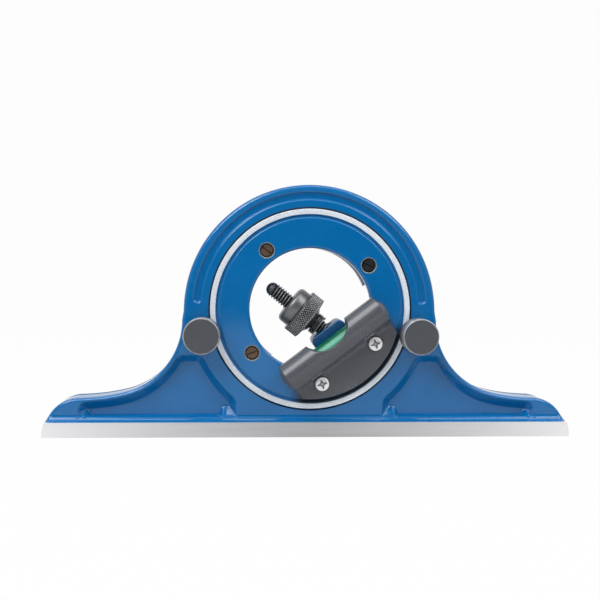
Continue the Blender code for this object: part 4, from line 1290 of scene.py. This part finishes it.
def holder_faces():
    """Faces of the level holder: a round barrel, a hollow fillet, a plate and two sunk seats."""
    loop, border, scoop = holder_loop()
    top, foot = BARREL_MIDDLE + BARREL_RADIUS, BARREL_MIDDLE - BARREL_RADIUS
    face = -HOLDER_FACE

    def barrel_rise(v):
        return np.sqrt(np.clip(BARREL_RADIUS ** 2 - (v - BARREL_MIDDLE) ** 2, 0, None))

    def front_height(p):
        v = p[:, 1]
        left = np.clip(HOLDER_FILLET ** 2 - (v - foot + HOLDER_FILLET) ** 2, 0, None)
        hollow = face + HOLDER_FILLET - np.sqrt(left)
        high = np.where(v > foot, -BARREL_Y + barrel_rise(v),
                        np.where(v > foot - HOLDER_FILLET, hollow, face))
        near = np.minimum(distance(p, border, closed=False), distance(p, scoop, closed=False))
        high = high - edge_drop(near, HOLDER_EDGE)
        beside = np.min([np.abs(p[:, 0] - c[0]) for c in LEVEL_SCREWS], axis=0)
        high = np.where((beside < SEAT_SIDE) & (v < -20.0) & (v > LEVEL_SCREWS[0, 1]), face, high)
        seat = np.min([np.hypot(*(p - c).T) for c in LEVEL_SCREWS], axis=0)
        wall = np.clip((seat - SEAT_WALL) / 0.04, 0, 1) * 9
        return -np.minimum(high, face - SEAT_DEPTH + wall)

    def back_height(p):
        round_back = BARREL_Y + barrel_rise(p[:, 1])
        upper = np.where(p[:, 1] > BARREL_MIDDLE, round_back, HOLDER_BACK)
        return np.minimum(upper, HOLDER_BACK)

    off = np.array([0.004, 0.02, 0.06, 0.13, 0.24, 0.4, 0.6, 0.85, 1.2, 1.6, 2.0])
    rows = np.concatenate([top - off, foot + off, foot - off, [-19.985, -20.015, foot - 2.2],
                           np.arange(foot + 2.6, top - 2.2, 0.6)])
    beside_seat = SEAT_SIDE + np.array([0.02, -0.02])
    beside_seat = np.concatenate([-beside_seat, beside_seat[::-1]])
    columns = np.concatenate([np.arange(BARREL_ENDS[0] + 0.5, BARREL_ENDS[1], 0.6),
                              *[c[0] + beside_seat for c in LEVEL_SCREWS]])
    grid = crossings(columns, rows)
    inward = inward_of(loop, 200)
    rings = [loop + inward * d for d in (0.02, 0.06, 0.11, 0.17, 0.22, 0.3)]
    circle = arc((0, 0), 1, 0, 2 * pi, 64)[:-1]
    seats = [c + circle * r for c in LEVEL_SCREWS for r in (2.44, 2.48, 2.52, 2.56)]
    coarse = crossings(np.arange(-20, 19, 1.0), np.arange(-30, -21.6, 1.0))
    extra = spaced([*rings, *seats], (0.05, [grid]), (0.5, [coarse]))
    front = face_mesh([loop], extra, front_height)
    back = face_mesh([loop], spaced(rings, (0.05, [grid])), back_height)
    return back, front, [(len(loop), [])]


def cross_head(name, centre, under, top, place):
    """A screw's head: a dome, a rounded edge and a four-armed recess, by radius and turn.

    The recess is deep where a point is nearer to a cross of two lines than a width that
    narrows outwards, or within a small circle. Its middle is a little shallower.
    """
    steps, cross_turn = 96, 0.35
    arm_width, arm_reach, recess_depth, hub = 0.62, 1.72, 0.62, 0.85
    turn = np.arange(steps) * 2 * pi / steps
    edge = [2.08, 2.2, 2.29, 2.34, HEAD_RADIUS]
    radius = np.concatenate([np.linspace(0, 1.95, 27), edge])[:, None]
    p, q = radius * np.cos(turn + cross_turn), radius * np.sin(turn + cross_turn)
    arms = arm_width * np.sqrt(np.clip(1 - radius / arm_reach, 0, 1))
    arms = arms - np.minimum(np.abs(p), np.abs(q))
    deep = np.clip(np.maximum(arms, hub - radius) / 0.16, 0, 1)
    deep *= 1 - 0.45 * np.clip(1 - radius / 0.7, 0, 1)
    dome = 0.22 * (radius / HEAD_RADIUS) ** 2 + edge_drop(HEAD_RADIUS - radius, 0.32)
    below = np.array([(HEAD_RADIUS, under), (SHANK_RADIUS, under),
                      (SHANK_RADIUS, under + SHANK_LENGTH), (0.0, under + SHANK_LENGTH)])
    y = np.concatenate([top + dome + recess_depth * deep, below[:, 1:] + 0 * turn])
    radius = np.concatenate([radius, below[:, :1]])
    x, z = centre[0] + radius * np.cos(turn), centre[1] + radius * np.sin(turn)
    # Painted shade: the recess takes 0 and so the dark first colour, the land takes 1
    crest_and_painted_light = np.concatenate([1 - deep, np.ones((len(below), steps))])
    quads = grid_quads(len(radius), steps, wrap=True)
    return closed_mesh(name, np.stack([x, y, z], -1), [quads], place, crest_and_painted_light)


class HEAD_OT_level(bpy.types.Operator):
    """Build the level holder, its vial, its plugs and its screws"""

    bl_idname = "protractor_head.level"
    bl_label = "Level"

    def execute(self, context):
        place = turret_frame()
        back = place.inverted()

        # Painted light: the barrel's lower flank by its fillet is lightened, so its crease does
        # not look dark
        def lower_barrel(p):
            return 0.55 * tent(p[:, 2] + 18.95, 1.2) * (p[:, 1] < -6)

        # Painted highlight: a lighter band along the vial's upper part
        def lit(p):
            return tent((p[:, 2] - BARREL_MIDDLE) / VIAL_RADIUS - 0.3, 0.45)

        holder = faced_solid("level_barrel", *holder_faces(), place, 50.0)
        point_values(holder, "crest_and_painted_light", lower_barrel, back)
        dress(holder, material_of("grey_coat"), "turning_turret", "level_holder", "level_holder")
        for word, centre in zip(("upper", "lower"), LEVEL_SCREWS):
            plug = cad_copy(f"end_plug_{word}", f"vial_plug_{word}", 0.15)
            dress(plug, material_of("grey_coat"), "turning_turret",
                  f"vial_plug_{word}", f"vial_plug_{word}")
            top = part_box(f"level_screw_{word}")[0][1] / MM
            screw = cross_head(f"cross_screw_{word}", centre, top + HEAD_HEIGHT, top, place)
            dress(screw, material_of("bright_steel"), "turning_turret",
                  f"level_screw_{word}", f"level_screw_{word}")
        glass = cad_copy("vial_tube", "vial_glass")
        point_values(glass, "crest_and_painted_light", lit, back)
        dress(glass, material_of("tinted_vial_glass"), "turning_turret",
              "vial_glass", "vial_glass")
        fluid = cad_copy("vial_filling", "vial_fluid")
        dress(fluid, material_of("level_fluid"), "turning_turret", "vial_fluid", "vial_fluid")
        return {"FINISHED"}


# The draw bolt, its nut and its spring, along the bolt's axis from its pivot

THREAD_START = -3.2
THREAD_END = 24.8
THREAD_ROOT = 2.06
THREAD_RISE = 0.64
BLANK_RADIUS = 2.34
HOOK_RADIUS = 1.6
HOOK_FOOT = -8.75
NUT_RADIUS = 7.93
NUT_BORE = 2.7
DRUM_LOW = 8.4
DRUM_HIGH = 13.15
COLLAR_RADIUS = 6.7
NUT_TOP = 17.5
KNURL_DEPTH = 0.42
KNURL_POINTS = 8
SPRING_RADIUS = 3.42
SPRING_FOOT = 4.15
SPRING_PITCH = 0.7
SPRING_TURNS = 3.2
WIRE_RADIUS = 0.33


def thread_mesh(s, place):
    """The draw bolt: rings whose radius follows a ridge that climbs one pitch a turn.

    The ridge is a triangle wave of height over pitch less turn, cut flat at its top and root,
    and it fades out at both ends. A half ball ends the bolt.
    """
    steps, rows_a_pitch = 48, 12
    height = np.arange(THREAD_START, THREAD_END, s.thread_pitch / rows_a_pitch)
    up = height[:, None]
    turn = np.arange(steps) * 2 * pi / steps
    ridge = np.abs(2 * ((up / s.thread_pitch - turn / (2 * pi)) % 1.0) - 1)
    crest_and_painted_light = 1 - np.clip(1.25 * ridge - 0.12, 0, 1)
    fade = np.clip((up - THREAD_START) / 0.8, 0, 1) * np.clip((THREAD_END + 0.1 - up) / 0.7, 0, 1)
    thread = BLANK_RADIUS + (THREAD_ROOT + THREAD_RISE * crest_and_painted_light - BLANK_RADIUS) * fade
    dome = np.radians(np.arange(0, 91, 7.5))
    foot = np.array([(0.0, HOOK_FOOT), (HOOK_RADIUS - 0.15, HOOK_FOOT),
                     (HOOK_RADIUS, HOOK_FOOT + 0.15), (HOOK_RADIUS, THREAD_START - 0.1)])
    radii = np.vstack([foot[:, :1] + 0 * turn, thread,
                       BLANK_RADIUS * np.cos(dome)[:, None] + 0 * turn])
    heights = np.concatenate([foot[:, 1], height, height[-1] + 0.05 + 2.1 * np.sin(dome)])
    worn = np.vstack([np.zeros((len(foot), steps)), np.clip(crest_and_painted_light * fade * 1.6 - 0.6, 0, 1),
                      np.full((len(dome), steps), 0.3)])
    quads = grid_quads(len(heights), steps, wrap=True)
    points = ring_points(radii, heights[:, None], turn)
    return closed_mesh("threaded_bolt", points, [quads], place, worn, 60.0)


def nut_mesh(s, place):
    """The clamp nut: a turned profile whose drum is cut to diamonds.

    Two triangle waves, of turn plus height and turn less height, cross at the knurl's lean,
    and the smaller of the two lifts a pyramid between the cuts.
    """
    around = int(2 * pi * NUT_RADIUS / s.knurl_pitch)
    lean = s.knurl_pitch / tan(radians(33))
    drum = np.arange(DRUM_LOW + 0.35, DRUM_HIGH - 0.34, lean / KNURL_POINTS)
    under = rounded([(NUT_BORE, 6.8), (3.5, 6.8), (5.2, 8.0), (NUT_RADIUS, DRUM_LOW),
                     (NUT_RADIUS, DRUM_LOW + 0.3)], (0.25, 0.6, 0.3))
    over = rounded([(NUT_RADIUS, DRUM_HIGH - 0.3), (NUT_RADIUS, DRUM_HIGH), (6.2, DRUM_HIGH),
                    (6.2, 13.5), (COLLAR_RADIUS, 13.5), (COLLAR_RADIUS, NUT_TOP),
                    (NUT_BORE, NUT_TOP), (NUT_BORE, NUT_TOP - 1)],
                   (0.3, 0.1, 0.1, 0.25, 1.9, 0.25))
    profile = [(NUT_BORE, 8.0)] + under[:-1]
    first, last = len(profile), len(profile) + len(drum)
    profile = np.array(profile + [(NUT_RADIUS, h) for h in drum] + over[1:])
    up = profile[:, 1:]
    count = around * KNURL_POINTS
    turn = np.arange(count) * 2 * pi / count
    waves = [turn * around / (2 * pi) + way * up / lean for way in (1, -1)]
    pyramid = np.minimum(*[np.abs(2 * (wave % 1) - 1) for wave in waves])
    pyramid = np.clip(1.5 * pyramid, 0, 1)
    band = np.zeros((len(profile), 1))
    band[first:last] = 1
    band[first:first + 2] = band[last - 2:last] = 0.6
    radius = profile[:, :1] - KNURL_DEPTH * (1 - pyramid) * band
    plain = np.where(up > DRUM_HIGH + 0.05, 0.45, 0.3) + 0 * pyramid
    worn = np.where(band > 0, pyramid, plain)
    ids = np.arange(count)
    end = (len(profile) - 1) * count
    bore = np.stack([ids, np.roll(ids, -1), np.roll(ids, -1) + end, ids + end], 1)
    faces = [grid_quads(len(profile), count, wrap=True), bore]
    return closed_mesh("knurled_nut", ring_points(radius, up, turn), faces, place, worn, 30.0)


def spring_mesh(place):
    """The spring: a round section carried along a helix and closed to a point at both ends."""
    stations, sides = 160, 12
    turn = np.linspace(0, SPRING_TURNS * 2 * pi, stations)[:, None]
    slope = atan2(SPRING_PITCH, 2 * pi * SPRING_RADIUS)
    wire_radius = np.full((stations, 1), WIRE_RADIUS)
    wire_radius[[0, -1]] = 0
    section = np.arange(sides) * 2 * pi / sides
    out, up = wire_radius * np.cos(section), wire_radius * np.sin(section)
    points = np.stack([(SPRING_RADIUS + out) * np.cos(turn) + up * sin(slope) * np.sin(turn),
                       (SPRING_RADIUS + out) * np.sin(turn) - up * sin(slope) * np.cos(turn),
                       SPRING_FOOT + SPRING_PITCH * turn / (2 * pi) + up * cos(slope)], -1)
    # Painted highlight: lighter on the outside of the wire and on the turns next to the boss
    worn = 0.35 * np.clip(np.cos(section), 0, 1) ** 2 + 0.5 * (turn < 2.4 * pi)
    quads = grid_quads(stations, sides, wrap=True)
    return closed_mesh("coil_spring", points, [quads], place, worn, 60.0)


class HEAD_OT_bolt(bpy.types.Operator):
    """Build the threaded draw bolt, its knurled nut and its spring"""

    bl_idname = "protractor_head.bolt"
    bl_label = "Draw bolt and nut"

    def execute(self, context):
        s = sizes()
        place = bolt_frame()
        black = material_of("black_steel")
        dress(thread_mesh(s, place), black, "drawing_bolt", "draw_bolt", "draw_bolt")
        points, faces = box_piece((-1.3, 0.0, HOOK_FOOT), (1.3, 7.6, HOOK_FOOT + 2.8))
        hook = bevelled(closed_mesh("bolt_hook", points, faces, place, angle=30.0), 0.25, 3, 30.0)
        dress(hook, black, "drawing_bolt", "draw_bolt")
        dress(nut_mesh(s, place), black, "turning_nut", "clamp_nut", "clamp_nut")
        dress(spring_mesh(place), black, "swinging_spring", "clamp_spring", "clamp_spring")
        return {"FINISHED"}


# The locks

DISC_RADIUS = 6.07
DISC_FACE = -13.3
DISC_BACK = -5.3
DISC_EDGE = 0.35
DISC_BORE = 2.3
BORE_END = -11.0


class HEAD_OT_locks(bpy.types.Operator):
    """Build the two lock nuts and their square-headed bolts"""

    bl_idname = "protractor_head.locks"
    bl_label = "Locks"

    def execute(self, context):
        flat = DISC_RADIUS - DISC_EDGE
        corners = [(0, DISC_FACE), (0.35, DISC_FACE), (0.45, DISC_FACE + 0.03), (0.55, DISC_FACE),
                   (flat, DISC_FACE), (DISC_RADIUS, DISC_FACE + DISC_EDGE),
                   (DISC_RADIUS, DISC_BACK - DISC_EDGE), (flat, DISC_BACK),
                   (DISC_BORE, DISC_BACK), (DISC_BORE, BORE_END), (0, BORE_END)]
        profile = rounded(corners, (0, 0, 0, 0.15, 0.15, 0.15, 0.15, 0, 0))

        def rim(r, h):
            return ((r > flat - 0.02) & (h < DISC_FACE + 0.5)) * 1.0

        for side, word in ((-1, "left"), (1, "right")):
            place = Matrix.Translation((side * LOCK_SPREAD, 0, LOCK_HEIGHT))
            nut = turned(f"lock_disc_{word}", profile, place, 128, "Y", rim)
            dress(nut, material_of(f"turned_grey_{word}"), f"{word}_lock_nut",
                  f"lock_nut_{word}", f"lock_nut_{word}")
            bolt = cad_copy(f"lock_screw_{word}", f"lock_bolt_{word}", 0.15)
            dress(bolt, material_of("bright_steel"), f"{word}_lock_bolt",
                  f"lock_bolt_{word}", f"lock_bolt_{word}")
        return {"FINISHED"}


# The dial

SCALE_RADIUS = 33.5
MARK_SUNK = 0.04
MARK_PROUD = 0.025
NUMBER_HEIGHT = 2.3
NUMBER_RADII = (28.8, 25.2)


def numeral(label, height):
    """Points and triangles of a number, centred, its right, up and thickness as X, Y and Z."""
    curve = bpy.data.curves.new("number", "FONT")
    curve.body, curve.size, curve.extrude, curve.resolution_u = label, height, MARK_PROUD, 3
    curve.align_x, curve.align_y = "CENTER", "CENTER"
    item = bpy.data.objects.new("number", curve)
    bpy.context.scene.collection.objects.link(item)
    shown = item.evaluated_get(bpy.context.evaluated_depsgraph_get())
    mesh = bpy.data.meshes.new_from_object(shown)
    mesh.calc_loop_triangles()
    points = read_all(mesh.vertices, "co")
    triangles = read_all(mesh.loop_triangles, "vertices", 3, np.int32)
    bpy.data.objects.remove(item)
    bpy.data.meshes.remove(mesh)
    bpy.data.curves.remove(curve)
    return points, triangles


class HEAD_OT_dial(bpy.types.Operator):
    """Build the dial plate, its degree scale and its screws"""

    bl_idname = "protractor_head.dial"
    bl_label = "Dial"

    def execute(self, context):
        s = sizes()
        place = turret_frame()
        ink = material_of("scale_ink")
        plate = cad_copy("scale_plate", "dial_plate", 0.12)
        corners = read_all(plate.data.vertices, "co", 3, np.float32)
        corners[:, 1] = np.minimum(corners[:, 1], DIAL_FACE * MM)
        plate.data.vertices.foreach_set("co", corners.ravel())
        dress(plate, material_of("satin_dial"), "turning_turret", "dial_plate", "dial_plate")
        for word, steel in (("top", "browned_steel"), ("right", "black_steel"),
                            ("left", "browned_steel")):
            screw = cad_copy(f"slotted_screw_{word}", f"dial_screw_{word}", 0.06)
            dress(screw, material_of(steel), "turning_turret",
                  f"dial_screw_{word}", f"dial_screw_{word}")

        degrees = np.arange(181)
        tens, fives = degrees % 10 == 0, degrees % 5 == 0
        run = np.where(tens, 2.9, np.where(fives, 2.3, 1.6))
        half = np.where(tens, 0.11, 0.075)
        low = np.stack([SCALE_RADIUS - run, 0 * run + DIAL_FACE - MARK_SUNK, -half], 1)
        high = np.stack([0 * run + SCALE_RADIUS, 0 * run + DIAL_FACE + MARK_PROUD, half], 1)
        corners, quads = boxes_at(low, high)
        turn = np.radians(degrees)[:, None]
        x, y, z = np.moveaxis(corners, -1, 0)
        points = np.stack([x * np.cos(turn) - z * np.sin(turn), y,
                           x * np.sin(turn) + z * np.cos(turn)], -1)
        marks = closed_mesh("degree_marks", points, [quads], place, angle=30.0)
        dress(marks, ink, "turning_turret", "dial_plate")

        stack, faces, total = [], [], 0
        for degree in range(0, 181, 10):
            out = np.array([cos(radians(degree)), 0, sin(radians(degree))])
            right = np.array([-out[2], 0, out[0]])
            for radius, label in zip(NUMBER_RADII, (degree, 180 - degree)):
                points, triangles = numeral(str(label), NUMBER_HEIGHT)
                stack.append(points[:, :1] * right + (radius + points[:, 1:2]) * out
                             + (DIAL_FACE + points[:, 2:]) * (0, 1, 0))
                faces.append(triangles + total)
                total += len(points)
        numbers = closed_mesh("degree_numbers", np.vstack(stack), [np.vstack(faces)], place,
                              angle=30.0)
        dress(numbers, ink, "turning_turret", "dial_plate")

        line, half, sunk = 3.6, 0.13, 0.03
        low = np.array([(start, s.base_depth / 2 - sunk, s.axis_height - half)
                        for start in (34.6, -34.6 - line)])
        corners, quads = boxes_at(low, low + (line, 2 * sunk, 2 * half))
        index = closed_mesh("index_marks", corners, [quads], angle=30.0)
        dress(index, ink, "casting", "protractor_body")
        return {"FINISHED"}


# The stage


def stage_white():
    """White to the eye and nearly so in a reflection, and matt grey to the light."""
    material = bpy.data.materials.new("stage_white")
    material.use_nodes = True
    tree = material.node_tree
    tree.nodes.clear()
    matt = add_node(tree, "BsdfDiffuse", (-300, 100), {"Color": (0.6, 0.6, 0.6, 1)})
    glow = add_node(tree, "Emission", (-300, -100), {"Color": (1, 1, 1, 1), "Strength": 1.0})
    rays = add_node(tree, "LightPath", (-700, 300))
    seen = add_node(tree, "Math", (-500, 300), operation="MAXIMUM")
    mirrored = add_node(tree, "Math", (-400, 500), operation="MAXIMUM")
    share = add_node(tree, "Math", (-300, 300), {1: 0.97}, operation="MULTIPLY")
    mix = add_node(tree, "MixShader", (0, 0))
    out = add_node(tree, "OutputMaterial", (200, 0))
    wire(tree,
         (rays, "Is Camera Ray", seen, 0), (rays, "Is Transmission Ray", seen, 1),
         (rays, "Is Glossy Ray", mirrored, 0), (seen, 0, mirrored, 1),
         (mirrored, 0, share, 0), (share, 0, mix, "Fac"),
         (matt, 0, mix, 1), (glow, 0, mix, 2), (mix, 0, out, "Surface"))
    return material


def soft_room(world):
    """World light: white to the camera; else brighter upwards and dark behind the camera."""
    world.use_nodes = True
    tree = world.node_tree
    background = tree.nodes["Background"]
    background.inputs["Color"].default_value = (1, 1, 1, 1)
    where = add_node(tree, "TexCoord", (-1200, 0))
    parts = add_node(tree, "SeparateXYZ", (-1000, 0))
    above = add_node(tree, "Math", (-800, 100), {1: 0.0}, operation="MAXIMUM")
    around = add_node(tree, "MapRange", (-800, -100), interpolation_type="SMOOTHSTEP", sockets={
        "From Min": -0.96, "From Max": -0.6, "To Min": 0.015, "To Max": 0.42})
    rise = add_node(tree, "Math", (-400, 0), {1: 0.25}, operation="MULTIPLY_ADD")
    rays = add_node(tree, "LightPath", (-400, 300))
    level = add_node(tree, "Mix", (-200, 0), {3: 1.0}, data_type="FLOAT")
    wire(tree,
         (where, "Generated", parts, 0), (parts, "Z", above, 0), (parts, "Y", around, "Value"),
         (above, 0, rise, 0), (around, "Result", rise, 2),
         (rays, "Is Camera Ray", level, "Factor"), (rise, 0, level, 2),
         (level, 0, background, "Strength"))


class HEAD_OT_stage(bpy.types.Operator):
    """Build the floor, the lamps, the world and the camera"""

    bl_idname = "protractor_head.stage"
    bl_label = "Stage"

    def execute(self, context):
        scene = context.scene
        scene.view_settings.view_transform = "Standard"
        turn = np.linspace(0, pi / 2, 40)
        sweep = np.stack([0.9 + 0.5 * np.sin(turn), 0.5 - 0.5 * np.cos(turn)], 1)
        line = np.vstack([[(-0.62, 0.0)], sweep, [(1.4, 4.0)]])
        across, along, up = np.broadcast_arrays([-4.0, 4.0], line[:, :1], line[:, 1:])
        points = np.stack([across, along, up], -1) / MM
        floor = new_mesh("floor", points, [grid_quads(len(line), 2)[:, ::-1]])
        floor.data.shade_smooth()
        floor.data.materials.append(stage_white())

        scene.world = scene.world or bpy.data.worlds.new("soft_room")
        soft_room(scene.world)
        for name, where, width, height, power in (
                ("key_lamp", (-0.5, -0.53, 0.74), 0.55, 0.5, 6.2),
                ("fill_lamp", (0.55, -0.5, 0.66), 0.45, 0.4, 3.1),
                ("top_lamp", (0.0, -0.19, 0.78), 1.1, 0.14, 2.2)):
            lamp = bpy.data.lights.new(name, "AREA")
            lamp.shape, lamp.size, lamp.size_y, lamp.energy = "RECTANGLE", width, height, power
            item = bpy.data.objects.new(name, lamp)
            item.location = where
            aim = Vector((0, 0, 0.04)) - Vector(where)
            item.rotation_euler = aim.to_track_quat("-Z", "Y").to_euler()
            scene.collection.objects.link(item)

        sensor, image_size, focal_pixels = 36.0, 600, 871
        lens = bpy.data.cameras.new("camera")
        lens.sensor_width, lens.lens = sensor, focal_pixels / image_size * sensor
        lens.clip_start, lens.clip_end = 0.01, 20.0
        camera = bpy.data.objects.new("camera", lens)
        camera.location = (-0.0226, -0.2985, 0.0558)
        yaw, pitch, roll = radians(3.7), radians(-1.9), radians(0.5)
        ahead = Vector((sin(yaw) * cos(pitch), cos(yaw) * cos(pitch), sin(pitch)))
        turn = ahead.to_track_quat("-Z", "Y").to_matrix() @ Matrix.Rotation(roll, 3, "Z")
        camera.rotation_euler = turn.to_euler()
        scene.collection.objects.link(camera)
        scene.camera = camera
        return {"FINISHED"}


class HEAD_PT_panel(bpy.types.Panel):
    """Panel that lists the sizes, the colours and the pieces"""

    bl_idname = "HEAD_PT_panel"
    bl_label = "Protractor head"
    bl_space_type = "VIEW_3D"
    bl_region_type = "UI"
    bl_category = "Protractor head"

    def draw(self, context):
        for group in (context.scene.head_sizes, context.scene.head_colours):
            for name in own_names(group):
                self.layout.prop(group, name)
        for operator in operators:
            self.layout.operator(operator.bl_idname)


operators = (HEAD_OT_stage, HEAD_OT_casting, HEAD_OT_turret, HEAD_OT_boss, HEAD_OT_level,
             HEAD_OT_bolt, HEAD_OT_locks, HEAD_OT_dial)
classes = (HeadSizes, HeadColours, *operators, HEAD_PT_panel)


def register():
    """Register the classes and their settings."""
    for item in classes:
        bpy.utils.register_class(item)
    bpy.types.Scene.head_sizes = bpy.props.PointerProperty(type=HeadSizes)
    bpy.types.Scene.head_colours = bpy.props.PointerProperty(type=HeadColours)


def unregister():
    """Remove the classes and their settings."""
    del bpy.types.Scene.head_sizes, bpy.types.Scene.head_colours
    for item in reversed(classes):
        bpy.utils.unregister_class(item)


def main():
    """Build every piece in order."""
    register()
    bpy.ops.protractor_head.stage()
    bpy.ops.protractor_head.casting()
    bpy.ops.protractor_head.turret()
    bpy.ops.protractor_head.boss()
    bpy.ops.protractor_head.level()
    bpy.ops.protractor_head.bolt()
    bpy.ops.protractor_head.locks()
    bpy.ops.protractor_head.dial()


if __name__ == "__main__":
    main()
